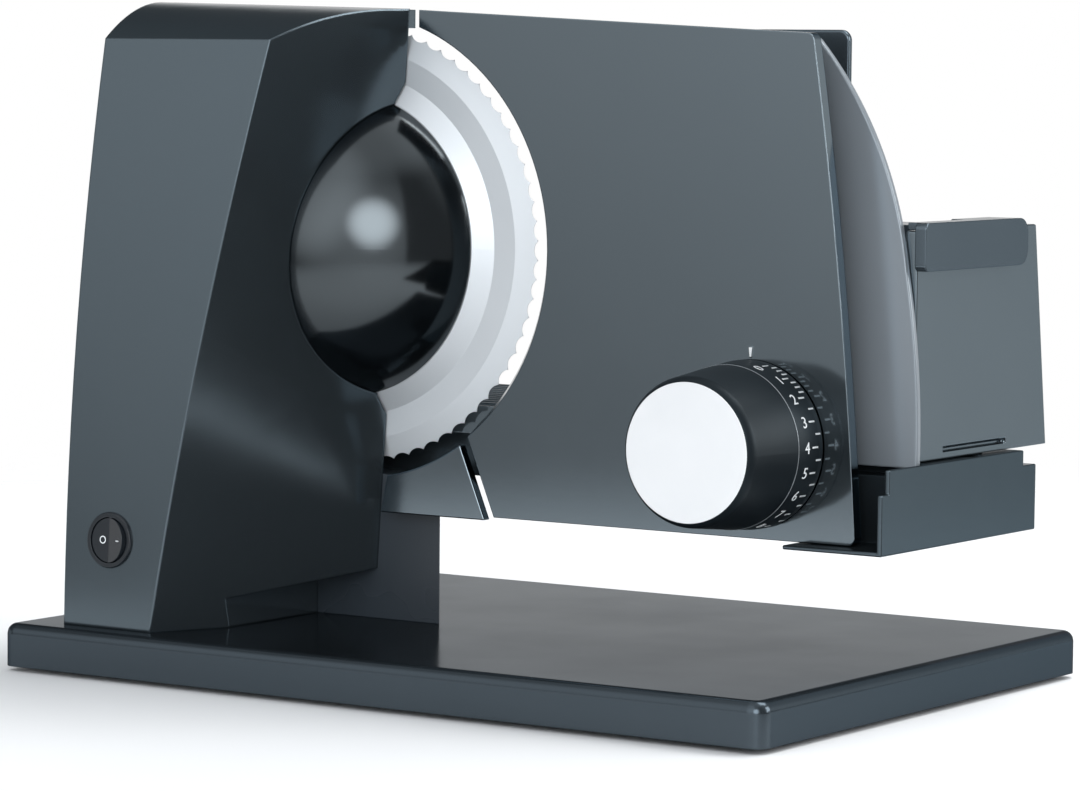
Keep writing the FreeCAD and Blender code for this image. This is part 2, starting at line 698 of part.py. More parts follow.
def base_underplate():
    """Flat cover that closes the base from below."""
    piece = Piece("base_underplate")
    x = half_long - S.base_wall - S.seat_gap
    y = half_wide - S.base_wall - S.seat_gap
    holes = circles(post_places, screw_hole) + circles(foot_places, S.foot_stem + S.screw_hole_gap)
    piece.pad("XY", [rounded(-x, -y, x, y, S.base_corner - S.base_wall)] + holes, S.foot_high, cover_top)


def underplate_screws():
    """Four screws that hold the cover."""
    piece = Piece("underplate_screws")
    head_low = S.foot_high - S.screw_head_high
    piece.pad("XY", circles(post_places, S.screw_head), head_low, S.foot_high)
    piece.pad("XY", circles(post_places, S.screw_radius), S.foot_high, base_top - S.base_wall * 1.5)


def base_feet():
    """Four rubber feet that snap into the cover."""
    piece = Piece("base_feet")
    piece.pad("XY", circles(foot_places, S.foot_radius), 0, S.foot_high)
    piece.pad("XY", circles(foot_places, S.foot_stem), S.foot_high, cover_top)
    piece.pad("XY", circles(foot_places, S.foot_barb), cover_top, cover_top + S.under_thick)


# Motor tower

def tower_plan(height, inset=0, back=None):
    """Corners of the housing's plan at a height above the base, drawn in by a wall."""
    share = as_size(height) / S.tower_high
    front_y = tower_y + S.tower_lean_back * share
    left_x = left + S.tower_in + S.tower_lean_side * share
    right_x = left + S.tower_in + S.tower_front_wide + S.tower_flare * share
    back_left = (left + S.tower_back_in + S.tower_lean_side * share, guard_y)
    back_right = (blade_x + S.tower_edge + S.tower_back_flare * share, guard_y)
    front_left = (left_x, front_y)
    front_right = (right_x, front_y)
    if back is None:
        return [front_left, front_right, back_right, back_left]
    near = front_y + inset
    lefts = (back_left[0] - left_x) / (guard_y - front_y)
    rights = (back_right[0] - right_x) / (guard_y - front_y)
    shift_left = inset * root(1 + lefts * lefts)
    shift_right = inset * root(1 + rights * rights)
    return [
        (along(front_left, back_left, near) + shift_left, near),
        (along(front_right, back_right, near) - shift_right, near),
        (along(front_right, back_right, back) - shift_right, back),
        (along(front_left, back_left, back) + shift_left, back),
    ]


front_bend = bow_radius(S.tower_high, S.tower_lean_back, S.front_bow)
front_chord = root(S.tower_high * S.tower_high + S.tower_lean_back * S.tower_lean_back)
front_arm = front_bend - S.front_bow
front_mid_y = tower_y + S.tower_lean_back / 2 + front_arm * S.tower_high / front_chord
front_mid_z = base_top + S.tower_high / 2 - front_arm * S.tower_lean_back / front_chord


def grown_plan(height):
    """Corners of the plan with room in front and on the left for the bowed faces."""
    front_left, front_right, back_right, back_left = tower_plan(height)
    near = front_left[1] - S.front_bow * 1.2
    more = S.side_bow * 1.2
    return [
        (along(front_left, back_left, near) - more, near), (along(front_right, back_right, near), near),
        back_right, (back_left[0] - more, back_left[1]),
    ]


def front_cut():
    """Side view of what the bowed front face takes off the tower."""
    front_top = base_top + S.tower_high
    ahead = tower_y - S.tower_lean_back
    return [
        (ahead, base_top), (tower_y, base_top, -front_bend),
        (tower_y + S.tower_lean_back, front_top), (ahead, front_top),
    ]


def side_cut(level, top):
    """Front view of what the bowed left side takes off the tower, at a level of its depth."""
    low_plan = tower_plan(0)
    top_plan = tower_plan(top)
    low_x = along(low_plan[0], low_plan[3], level)
    top_x = along(top_plan[0], top_plan[3], level)
    beyond = left - S.tower_in
    bend = bow_radius(as_size(top), top_x - low_x, S.side_bow)
    return [
        (beyond, base_top), (low_x, base_top, -bend), (top_x, base_top + top), (beyond, base_top + top),
    ]


def crown_cut(fall, bend):
    """Side view of what the roof's bend takes off the tower."""
    front_top = base_top + S.tower_high
    front_y = tower_y + S.tower_lean_back
    roof = front_top + S.crown_rise - fall
    above = roof + S.crown_rise
    ahead = front_y - S.tower_lean_back
    return [
        (ahead, front_top), (front_y, front_top, -bend),
        (front_y + S.crown_deep, roof - S.crown_flat), (guard_back, roof), (guard_back, above),
        (ahead, above),
    ]


def tower_housing():
    """Leaning moulded shell of the motor tower, open to the guard and to the base."""
    piece = Piece("tower_housing")
    spare = S.tower_high + S.crown_rise * 1.5
    piece.loft("XY", base_top, grown_plan(0), base_top + spare, grown_plan(spare))
    piece.pocket("YZ", [front_cut()], left - S.tower_in, blade_x + S.column_reach)
    near = tower_y - S.front_bow * 2
    piece.loft("XZ", guard_y, side_cut(guard_y, spare), near, side_cut(near, spare), cut=True)
    right = blade_x + S.tower_edge + S.tower_back_flare * 1.3
    piece.loft("YZ", left - S.side_bow, crown_cut(0, S.crown_bend_left),
               right, crown_cut(S.crown_fall, S.crown_bend), cut=True)
    split = S.alcove_tall + S.tower_wall
    ceiling = S.tower_high - S.tower_roof
    piece.loft("XY", base_top + split, tower_plan(split, S.tower_wall, guard_back),
               base_top + ceiling, tower_plan(ceiling, S.tower_wall, guard_back), cut=True)
    low = tower_plan(split, S.tower_wall, guard_back)
    inner = left + S.alcove_in - S.tower_wall
    turn_y = low[1][1] + (inner - low[1][0]) * (low[2][1] - low[1][1]) / (low[2][0] - low[1][0])
    room = [low[0], low[1], (inner, turn_y), (inner, guard_back), low[3]]
    piece.pocket("XY", [room], base_top, base_top + split)
    front = guard_y - S.alcove_deep
    steep = (S.alcove_tall - S.alcove_low) / S.alcove_deep
    before = S.tower_wall * 3
    alcove = [
        (front - before, base_top), (guard_back, base_top),
        (guard_back, base_top + S.alcove_tall), (guard_y, base_top + S.alcove_tall),
        (front - before, base_top + S.alcove_low - steep * before),
    ]
    piece.pocket("YZ", [alcove], left + S.alcove_in, blade_x + S.column_reach)
    piece.groove([dome_room()], level=blade_z, at=(blade_x, 0))
    switch = switch_point()
    piece.pocket("XZ", [Circle(switch[0], switch[2], S.bezel_barrel + S.seat_gap)],
                 tower_y - S.tower_wall, switch[1] + S.tower_wall * 2)


def dome_room():
    """Half section of the room that the dome and the turning blade need in the tower."""
    radius = S.dome_radius + S.seat_gap
    depth = dome_edge_y - dome_y
    edge = circle_height(radius, depth)
    clear = S.blade_cone_out + S.dome_wall
    return [
        (0, dome_y - radius, radius * 1), (edge, dome_edge_y), (edge + 1, dome_edge_y),
        (clear, guard_y + S.guard_front / 4), (clear, guard_back), (0, guard_back),
    ]


def gear_dome():
    """Spherical cover over the gears, tucked behind the tower's wall."""
    piece = Piece("gear_dome")
    inner = S.dome_radius - S.dome_wall
    depth = dome_edge_y - dome_y
    piece.turn([[
        (0, dome_y - S.dome_radius, S.dome_radius * 1),
        (circle_height(S.dome_radius, depth), dome_edge_y),
        (circle_height(inner, depth), dome_edge_y, -inner),
        (0, dome_y - inner),
    ]], level=blade_z, at=(blade_x, 0))
    plan = tower_plan(S.blade_up)
    before = dome_y - S.dome_radius * 1.1
    after = dome_edge_y + S.dome_wall
    cut = [
        (along(plan[1], plan[2], before) - S.dome_tuck, before),
        (along(plan[1], plan[2], after) - S.dome_tuck, after),
        (blade_x - S.dome_radius, after), (blade_x - S.dome_radius, before),
    ]
    piece.pocket("XY", [cut], blade_z - S.dome_radius, blade_z + S.dome_radius)


def blade_guard():
    """Plate behind the tower with a round opening for the blade."""
    piece = Piece("blade_guard")
    guard_left = left + S.guard_in
    top_left = base_top + S.tower_high + S.crown_rise - S.crown_flat
    bend = bow_radius(top_left - column_top, 0, S.side_bow / 2)
    piece.pad("XZ", [[
        (guard_left, column_top), (blade_x - S.guard_heel, column_top),
        (blade_x - S.guard_heel, blade_z), (blade_x + S.guard_tip, blade_z),
        (blade_x + S.guard_tip, top_left - S.crown_fall), (guard_left, top_left, bend),
    ]], guard_y, guard_back)
    piece.pocket("XZ", [Circle(blade_x, blade_z, S.blade_radius + S.guard_gap)], guard_y, guard_back)
    piece.pocket("XZ", circles(guard_screw_places(), screw_hole), guard_y, guard_back)


def guard_screw_places():
    """Screws in the guard's corners."""
    inset = S.post_inset / 2
    top = base_top + S.tower_high
    return [
        (left + S.guard_in + inset, column_top + inset),
        (left + S.guard_in + inset, top - inset),
        (left + S.guard_in + inset * 3, top),
    ]


def guard_screws():
    """Screws from the guard into the tower."""
    piece = Piece("guard_screws")
    piece.pad("XZ", circles(guard_screw_places(), S.screw_head), guard_back,
              guard_back + S.screw_head_high)
    piece.pad("XZ", circles(guard_screw_places(), S.screw_radius), guard_y, guard_back)


# Blade and its drive

def blade():
    """Serrated round knife with a raised centre."""
    piece = Piece("blade")
    flat = S.blade_thick - S.blade_raise
    rim = S.blade_thick - S.blade_rim_up
    piece.turn([[
        (S.blade_bore, -S.blade_raise), (S.blade_cone_in, -S.blade_raise),
        (S.blade_cone_out, -S.blade_rim_up), (S.blade_bevel_in, -S.blade_rim_up),
        (S.blade_radius, 0), (S.blade_radius - S.blade_thick * 3, rim),
        (S.blade_cone_out - S.blade_thick, rim), (S.blade_cone_in - S.blade_thick, flat),
        (S.blade_bore, flat),
    ]])
    middle = S.blade_radius - S.scallop_deep + S.scallop_bend
    scallop = piece.pocket("XZ", [Circle(middle, 0, S.scallop_bend)], -S.blade_raise, S.blade_thick)
    piece.repeat_round(scallop, "Y_Axis", S.scallops)
    piece.place(blade_x, edge_y, blade_z)


def blade_hub():
    """Hub that carries the blade on its shaft."""
    piece = Piece("blade_hub")
    front = -S.blade_raise - S.hub_long
    piece.turn([[
        (S.shaft_radius, front), (S.hub_radius, front), (S.hub_radius, -S.blade_raise),
        (S.blade_bore, -S.blade_raise), (S.blade_bore, -S.blade_raise - S.hub_sink),
        (S.shaft_radius, -S.blade_raise - S.hub_sink),
    ]])
    piece.place(blade_x, edge_y, blade_z)


def blade_lock():
    """Slotted lock screw behind the blade."""
    piece = Piece("blade_lock")
    seat = S.blade_thick - S.blade_raise
    shank = S.blade_bore - S.lock_gap
    end = -S.blade_raise - S.hub_sink + S.lock_gap
    piece.turn([[
        (0, end), (shank, end), (shank, seat), (S.lock_radius, seat),
        (S.lock_radius, seat + S.lock_high / 2), (S.lock_radius - S.lock_high / 2, seat + S.lock_high),
        (0, seat + S.lock_high),
    ]])
    half = S.lock_slot / 2
    piece.pocket("XZ", [rectangle(-S.lock_radius, -half, S.lock_radius, half)],
                 seat + S.lock_high / 2, seat + S.lock_high)
    piece.place(blade_x, edge_y, blade_z)


def blade_shaft():
    """Shaft from the front bush to the blade's hub, with two collars."""
    piece = Piece("blade_shaft")
    front = neck_y - S.plate_thick + S.seat_gap
    back = edge_y - S.blade_raise - S.hub_sink
    collar = S.shaft_radius + S.bush_wall - 1
    wheel = S.wheel_face / 2 + 1
    piece.turn([[
        (0, front), (S.shaft_radius, front), (S.shaft_radius, neck_y + S.seat_gap),
        (collar, neck_y + S.seat_gap), (collar, worm_y - wheel), (S.shaft_radius, worm_y - wheel),
        (S.shaft_radius, worm_y + wheel), (collar, worm_y + wheel),
        (collar, plate_y - 1 - S.seat_gap), (S.shaft_radius, plate_y - 1 - S.seat_gap),
        (S.shaft_radius, back), (0, back),
    ]])
    piece.place(blade_x, 0, blade_z)


def worm_wheel():
    """Toothed wheel on the blade's shaft."""
    piece = Piece("worm_wheel")
    outer = S.wheel_pitch + S.tooth_out
    half = S.wheel_face / 2
    rim = S.wheel_pitch - S.tooth_in * 3
    hub = S.shaft_radius * 2
    web = half / 3
    piece.turn([[
        (S.shaft_radius, -half - 1), (hub, -half - 1), (hub, -web), (rim, -web), (rim, -half),
        (outer, -half), (outer, half), (rim, half), (rim, web), (hub, web), (hub, half + 1),
        (S.shaft_radius, half + 1),
    ]])
    gap = S.wheel_pitch * math.pi / S.wheel_teeth / 2 + S.tooth_play / 2
    root_x = -S.wheel_pitch + S.tooth_in
    tip_x = -outer - S.tooth_out
    slot = [(root_x, -gap * 0.6), (root_x, gap * 0.6), (tip_x, gap * 1.6), (tip_x, -gap * 1.6)]
    tooth = piece.pocket("XZ", [slot], -half, half)
    piece.repeat_round(tooth, "Y_Axis", S.wheel_teeth)
    piece.place(blade_x, worm_y, blade_z)


def worm():
    """Single start worm on the motor's shaft."""
    piece = Piece("worm")
    pitch = S.wheel_pitch * 2 * math.pi / S.wheel_teeth
    half = S.worm_long / 2
    core = S.worm_pitch - S.tooth_out - S.seat_gap
    piece.pad("XY", [Circle(0, 0, core), Circle(0, 0, S.rotor_radius)], -half, half)
    reach = S.worm_pitch + S.tooth_out
    width = pitch / 4 - S.tooth_play
    turns = 6
    low = -pitch * (turns / 2)
    thread = [
        (core - S.seat_gap, low - width * 1.4), (reach, low - width * 0.7),
        (reach, low + width * 0.7), (core - S.seat_gap, low + width * 1.4),
    ]
    sketch = piece.sketch("XZ", [thread], 0)
    helix = piece.feature("AdditiveHelix", "thread", sketch)
    helix.ReferenceAxis = (sketch, ["V_Axis"])
    helix.Mode = "pitch-height-angle"
    helix.setExpression("Pitch", pitch.formula)
    helix.setExpression("Height", (pitch * turns).formula)
    piece.place(worm_x, worm_y, blade_z)


def motor_can():
    """Drawn cup that holds the magnets."""
    piece = Piece("motor_can")
    inner = S.motor_radius - S.motor_wall
    bush = S.rotor_radius + S.bush_wall
    piece.turn([[
        (bush, motor_low), (S.motor_radius, motor_low), (S.motor_radius, shelf_z), (inner, shelf_z),
        (inner, motor_low + S.motor_wall), (bush, motor_low + S.motor_wall),
    ]], view="XZ", level=worm_y, at=(worm_x, 0))


def motor_magnets():
    """Two arc magnets inside the can."""
    piece = Piece("motor_magnets")
    outer = S.motor_radius - S.motor_wall
    inner = outer - S.magnet_thick
    low = motor_low + S.motor_radius / 3
    high = low + S.armature_long
    gap = S.magnet_thick
    piece.pad("XY", [Circle(worm_x, worm_y, outer), Circle(worm_x, worm_y, inner)], low, high)
    piece.pocket("XY", [rectangle(worm_x - gap, worm_y - S.motor_radius, worm_x + gap,
                                  worm_y + S.motor_radius)], low, high)


def motor_shaft():
    """Shaft of the motor, up through the worm."""
    piece = Piece("motor_shaft")
    piece.pad("XY", [Circle(worm_x, worm_y, S.rotor_radius)], motor_low - S.bush_wall,
              top_shelf_z + S.plate_thick)


def armature():
    """Slotted core of the rotor."""
    piece = Piece("armature")
    radius = S.motor_radius - S.motor_wall - S.magnet_thick - S.armature_gap
    low = motor_low + S.motor_radius / 3
    piece.pad("XY", [Circle(0, 0, radius), Circle(0, 0, S.rotor_radius)], 0, S.armature_long)
    slot = rectangle(radius / 2, -S.rotor_radius / 4, radius, S.rotor_radius / 4)
    slots = piece.pocket("XY", [slot], 0, S.armature_long)
    piece.repeat_round(slots, "Z_Axis", as_size(8))
    piece.place(worm_x, worm_y, low)


def commutator():
    """Copper segments above the armature."""
    piece = Piece("commutator")
    low = motor_low + S.motor_radius / 3 + S.armature_long + S.bush_wall
    piece.pad("XY", [Circle(worm_x, worm_y, S.commutator_radius),
                     Circle(worm_x, worm_y, S.rotor_radius)], low, low + S.commutator_long)


def motor_bush():
    """Bush in the bottom of the motor can."""
    piece = Piece("motor_bush")
    piece.pad("XY", [Circle(worm_x, worm_y, S.rotor_radius + S.bush_wall),
                     Circle(worm_x, worm_y, S.rotor_radius + S.shaft_gap)],
              motor_low - S.bush_wall / 2, motor_low + S.bush_wall)


def worm_bush():
    """Bush in the top shelf."""
    piece = Piece("worm_bush")
    piece.pad("XY", [Circle(worm_x, worm_y, S.rotor_radius + S.bush_wall),
                     Circle(worm_x, worm_y, S.rotor_radius + S.shaft_gap)],
              top_shelf_z - S.bush_wall / 2, top_shelf_z + S.plate_thick)


def bracket_screw_places():
    """Screws through the gear bracket's foot, in plan."""
    inset = S.post_inset / 3
    x0 = web_x + S.plate_thick + inset
    x1 = web_x + S.foot_long - inset
    y0 = worm_y - S.shelf_deep / 2 + inset
    y1 = worm_y + S.shelf_deep / 2 - inset
    return [(x0, y0), (x1, y0), (x0, y1), (x1, y1)]


def gear_bracket():
    """Cast bracket that carries the motor, the worm and the blade's shaft."""
    piece = Piece("gear_bracket")
    front = neck_y - S.plate_thick
    back = plate_y + S.plate_thick
    near = worm_y - S.shelf_deep / 2
    far = worm_y + S.shelf_deep / 2
    web = web_x + S.plate_thick
    piece.pad("XY", [rectangle(web_x, near, web_x + S.foot_long, far)], base_top, base_top + S.plate_thick)
    piece.pad("XY", [rectangle(web_x, front, web, back)], base_top, top_shelf_z + S.plate_thick * 2)
    piece.pad("XY", [rectangle(web_x, near, worm_x + S.shelf_reach, far)], shelf_z,
              shelf_z + S.plate_thick)
    piece.pad("XY", [rectangle(web_x, worm_y - S.top_shelf_reach, worm_x + S.top_shelf_reach,
                               worm_y + S.top_shelf_reach)], top_shelf_z, top_shelf_z + S.plate_thick)
    bush = S.shaft_radius + S.bush_wall
    boss = bush + S.plate_thick
    rear = S.plate_tall / 2
    piece.pad("XZ", [[
        (web_x, blade_z - rear), (blade_x - boss, blade_z - rear), (blade_x, blade_z - boss, boss),
        (blade_x + boss, blade_z, boss), (blade_x, blade_z + boss), (blade_x - boss, blade_z + rear),
        (web_x, blade_z + rear),
    ]], plate_y, back)
    piece.pad("XZ", [Circle(blade_x, blade_z, boss)], plate_y - 1, back + 1.5)
    half = S.neck_tall / 2
    piece.pad("XZ", [[
        (web_x, blade_z - half), (blade_x, blade_z - half, half), (blade_x + half, blade_z, half),
        (blade_x, blade_z + half), (web_x, blade_z + half),
    ]], front, neck_y)
    piece.pocket("XZ", [Circle(blade_x, blade_z, bush)], plate_y - 1, back + 1.5)
    piece.pocket("XZ", [Circle(blade_x, blade_z, bush)], front, neck_y)
    piece.pocket("XY", [Circle(worm_x, worm_y, S.rotor_radius + 2)], shelf_z, shelf_z + S.plate_thick)
    piece.pocket("XY", [Circle(worm_x, worm_y, S.rotor_radius + S.bush_wall)], top_shelf_z,
                 top_shelf_z + S.plate_thick)
    piece.pocket("XY", circles(bracket_screw_places(), screw_hole), base_top, base_top + S.plate_thick)


def bracket_screws():
    """Screws that hold the gear bracket on the base."""
    piece = Piece("bracket_screws")
    top = base_top + S.plate_thick
    piece.pad("XY", circles(bracket_screw_places(), S.screw_radius), base_top - S.base_wall, top)
    piece.pad("XY", circles(bracket_screw_places(), S.screw_head), top, top + S.screw_head_high)


def shaft_bushes():
    """Two bushes for the blade's shaft."""
    piece = Piece("shaft_bushes")
    rings = [Circle(blade_x, blade_z, S.shaft_radius + S.bush_wall),
             Circle(blade_x, blade_z, S.shaft_radius + S.shaft_gap)]
    piece.pad("XZ", rings, neck_y - S.plate_thick, neck_y)
    piece.pad("XZ", rings, plate_y - 1, plate_y + S.plate_thick + 1.5)


# Column, lower plate and rail

def arm_column():
    """Hollow column that carries the rail on the base."""
    piece = Piece("arm_column")
    left_x = left + S.column_in
    right_x = blade_x + S.column_reach
    outline = [
        (left_x, guard_y), (right_x, guard_y), (right_x - S.column_taper, guard_y + S.column_mid),
        (left_x, guard_y + S.column_deep),
    ]
    piece.pad("XY", [outline], base_top, column_top)


def lower_plate():
    """Fixed plate below the blade, with an arc that follows it."""
    piece = Piece("lower_plate")
    face = cut_y - S.lower_front
    back = face + S.lower_thick
    middle_x = blade_x + S.stop_shear
    low = base_top + S.lower_up
    right_x = blade_x + S.lower_arc_right
    left_x = blade_x + S.lower_arc_left
    right_z = blade_z - circle_height(S.lower_arc, right_x - middle_x)
    left_z = blade_z - circle_height(S.lower_arc, left_x - middle_x)
    piece.pad("XZ", [[
        (blade_x + S.lower_left, low), (blade_x + S.lower_right, low),
        (right_x, right_z, -S.lower_arc), (left_x, left_z),
    ]], face, back)
    foot = S.lower_thick / 2
    piece.pad("XZ", [rectangle(left_x, low + foot, blade_x + S.column_reach - foot, left_z - foot)],
              back, guard_y)


def rail_section(bottom):
    """Side view of the rail and its cap, with the slot for the shoe."""
    neck = rail_y + S.slot_set
    neck_back = neck + S.slot_neck
    wider = (S.slot_foot - S.slot_neck) / 2
    ledge = rail_top - S.slot_neck_deep
    floor = rail_top - S.slot_deep
    step_z = rail_top - S.rail_step_drop
    step_y = rail_back + S.rail_step_wide
    return [
        (rail_y, bottom), (step_y, bottom), (step_y, step_z), (rail_back, step_z),
        (rail_back, rail_top), (neck_back, rail_top), (neck_back, ledge), (neck_back + wider, ledge),
        (neck_back + wider, floor), (neck - wider, floor), (neck - wider, ledge), (neck, ledge),
        (neck, rail_top), (rail_y, rail_top),
    ]


def rail_beam():
    """Rail that the carriage runs on, with bores for the guide rods."""
    piece = Piece("rail_beam")
    piece.pad("YZ", [rail_section(column_top)], rail_left, rail_right)
    holes = [Circle(x, rod_z, S.rod_radius + S.shaft_gap) for x in rod_xs]
    piece.pocket("XZ", holes, rail_y, cut_y + S.rod_reach + 2)


def rail_end_cap():
    """End cap of the rail with its ledge, end plate and lip."""
    piece = Piece("rail_end_cap")
    bottom = column_top - S.cap_drop
    end = rail_right + S.cap_long
    outer = end + S.cap_plate
    nose_y = cut_y - S.cap_nose
    shelf_y = cut_y + S.cap_shelf
    piece.pad("YZ", [rail_section(bottom)], rail_right, end)
    piece.pad("YZ", [rectangle(shelf_y, bottom, rail_y, rail_top - S.cap_shelf_drop)], rail_right, end)
    lip_x = rail_right + S.cap_lip * 2
    piece.pad("XY", [rectangle(lip_x, nose_y, outer, shelf_y)], bottom, bottom + S.cap_lip)
    step_z = rail_top - S.rail_step_drop
    nose_top = bottom + S.cap_nose_high
    piece.pad("YZ", [[
        (nose_y, bottom), (rail_back + S.rail_step_wide, bottom), (rail_back + S.rail_step_wide, step_z),
        (rail_back, step_z), (rail_back, rail_top), (nose_y + S.cap_nose_step, rail_top),
        (nose_y + S.cap_nose_step, nose_top), (nose_y, nose_top),
    ]], end, outer)


# Thickness plate

stop_bend = bow_radius(S.stop_top_right - S.stop_up, S.stop_right_low - S.stop_right_top, S.stop_bow)


def stop_outline(depth, inset=0, set_in=0):
    """Outline of the thickness plate, a depth in front of its rear and drawn in by a wall.

    Behind its rim the plate's right edge is set in as well.
    """
    depth = as_size(depth)
    share = depth / S.stop_thick
    shift = S.stop_shear * share
    middle = blade_x + shift
    radius = S.blade_radius + S.stop_gap + inset
    left_x = blade_x + S.stop_left + shift + inset
    arc_top = blade_z + circle_height(radius, left_x - middle)
    notch = S.stop_notch_rear + (S.stop_notch_front - S.stop_notch_rear) * share
    notch_x = blade_x + notch + inset * 1.17
    arc_low = blade_z - circle_height(radius, notch_x - middle)
    low = base_top + S.stop_up + inset
    right_low = left + S.stop_right_low - inset - set_in
    right_top = left + S.stop_right_top - inset * 1.05 - set_in
    return [
        (blade_x + S.stop_toe + inset * 1.09, low), (right_low, low, stop_bend),
        (right_top, base_top + S.stop_top_right - inset),
        (left_x, base_top + S.stop_top_left - inset), (left_x, arc_top, -radius),
        (notch_x, arc_low),
    ]


def stop_screw_places():
    """Screws that hold the thickness plate's rear panel."""
    high = base_top + S.stop_top_right - S.post_inset
    low = base_top + S.stop_up + S.post_inset / 2
    return [
        (blade_x + S.blade_radius, high), (left + S.stop_right_top - S.post_inset, high),
        ((rod_xs[0] + rod_xs[1]) / 2, low), (left + S.stop_right_low - S.post_inset, low),
    ]


def stop_shell():
    """Moulded thickness plate with bosses for its rods, its screws and the dial."""
    piece = Piece("stop_shell")
    rim = stop_y + S.stop_rim
    behind = S.stop_thick - S.stop_rim
    piece.loft("XZ", rim, stop_outline(behind), stop_y, stop_outline(S.stop_thick))
    piece.loft("XZ", cut_y, stop_outline(0, 0, S.stop_set_in), rim,
               stop_outline(behind, 0, S.stop_set_in))
    right = left + S.stop_right_top - S.stop_corner - S.stop_set_in
    piece.fillet(S.stop_corner, lambda edge: straight_along(edge, "y") and
                 edge.CenterOfMass.x > right.value)
    inner = stop_y + S.stop_wall
    piece.loft("XZ", cut_y, stop_outline(0, S.stop_wall, S.stop_set_in), inner,
               stop_outline(S.stop_thick - S.stop_wall, S.stop_wall, S.stop_set_in), cut=True)
    panel_y = cut_y - S.panel_thick
    rods = [(x, rod_z) for x in rod_xs]
    piece.pad("XZ", circles(rods, S.rod_boss) + circles(rods, S.rod_radius), inner, panel_y)
    screws = stop_screw_places()
    piece.pad("XZ", circles(screws, S.rod_radius) + circles(screws, screw_hole), inner, panel_y)
    piece.pocket("XZ", [Circle(dial_x, dial_z, S.hub_out + S.shaft_gap)], stop_y, inner)
    low = dial_z + S.dial_rim + S.mark_lift
    high = low + S.mark_high
    half = S.mark_wide / 2
    tip = half / 2
    piece.pad("XZ", [[(dial_x - tip, low), (dial_x + tip, low), (dial_x + half, high),
                      (dial_x - half, high)]], stop_y - tip, stop_y)


def stop_panel():
    """Rear panel of the thickness plate, grooved where the food slides."""
    piece = Piece("stop_panel")
    inset = S.stop_wall + S.seat_gap
    piece.loft("XZ", cut_y, stop_outline(0, inset, S.stop_set_in), cut_y - S.panel_thick,
               stop_outline(S.panel_thick, inset, S.stop_set_in))
    panel_y = cut_y - S.panel_thick
    rods = [(x, rod_z) for x in rod_xs]
    holes = circles(rods, S.rod_radius) + circles(stop_screw_places(), screw_hole)
    piece.pocket("XZ", holes + [Circle(dial_x, dial_z, S.spindle_radius + S.seat_gap * 2)], panel_y, cut_y)
    piece.pocket("XZ", circles(stop_screw_places(), S.screw_head + S.seat_gap),
                 cut_y - S.screw_head_high - S.seat_gap, cut_y)
    low = rod_z + S.rod_boss
    groove = rectangle(rod_xs[0], low, left + S.stop_right_top - S.post_inset * 1.5, low + S.groove_wide)
    cut = piece.pocket("XZ", [groove], cut_y - S.groove_deep, cut_y)
    piece.repeat_along(cut, "Z_Axis", S.groove_pitch, S.grooves)


def stop_rods():
    """Guide rods that run in the rail."""
    piece = Piece("stop_rods")
    rods = [(x, rod_z) for x in rod_xs]
    piece.pad("XZ", circles(rods, S.rod_radius), stop_y + S.stop_wall, cut_y + S.rod_reach)


def stop_screws():
    """Screws of the rear panel."""
    piece = Piece("stop_screws")
    seat = cut_y - S.screw_head_high - S.seat_gap
    piece.pad("XZ", circles(stop_screw_places(), S.screw_radius), stop_y + S.stop_wall + S.seat_gap, seat)
    piece.pad("XZ", circles(stop_screw_places(), S.screw_head), seat, cut_y - S.seat_gap)


# Thickness dial

def dial_knob():
    """Knob with a hollow skirt and a hub that runs on the spindle."""
    piece = Piece("dial_knob")
    bore = S.spindle_radius + S.shaft_gap
    face = -S.dial_long
    seat = face + S.dial_disc_thick
    wall = seat + S.dial_wall
    ring = -S.dial_gap - S.ring_long - S.seat_gap
    clip = S.stop_wall + S.seat_gap
    groove = clip + S.clip_thick
    skirt = S.dial_core - S.dial_wall
    piece.turn([[
        (bore, S.hub_back), (S.hub_out, S.hub_back), (S.hub_out, groove),
        (S.hub_out - S.clip_groove, groove), (S.hub_out - S.clip_groove, clip), (S.hub_out, clip),
        (S.hub_out, wall), (S.dial_disc - S.dial_wall, wall), (skirt, ring), (skirt, -S.dial_gap),
        (S.dial_core, -S.dial_gap), (S.dial_core, ring), (S.dial_rim_front, ring),
        (S.dial_front, face + S.dial_bevel, -S.dial_bevel * 1.3), (S.dial_disc, face),
        (S.dial_disc, seat), (0, seat), (0, wall), (bore, wall),
    ]])
    piece.place(dial_x, stop_y, dial_z)


def dial_scale_ring():
    """Ring that carries the dial's numbers."""
    piece = Piece("dial_scale_ring")
    front = -S.dial_gap - S.ring_long
    piece.turn([[
        (S.dial_core, front), (S.dial_rim_front, front), (S.dial_rim, -S.dial_gap - S.dial_wall),
        (S.dial_rim, -S.dial_gap), (S.dial_core, -S.dial_gap),
    ]])
    piece.place(dial_x, stop_y, dial_z)


def dial_disc():
    """Metal disc in the dial's face."""
    piece = Piece("dial_disc")
    face = -S.dial_long
    radius = S.dial_disc
    piece.turn([[(0, face), (radius, face), (radius, face + S.dial_disc_thick),
                 (0, face + S.dial_disc_thick)]])
    piece.place(dial_x, stop_y, dial_z)


def dial_clip():
    """Clip that keeps the dial's hub in the thickness plate."""
    piece = Piece("dial_clip")
    low = S.stop_wall + S.seat_gap
    inner = S.hub_out - S.clip_groove
    piece.pad("XZ", [Circle(0, 0, S.clip_out), Circle(0, 0, inner)], low, low + S.clip_thick)
    half = inner / 2
    piece.pocket("XZ", [rectangle(-half, -S.clip_out, half, -half)], low, low + S.clip_thick)
    piece.place(dial_x, stop_y, dial_z)


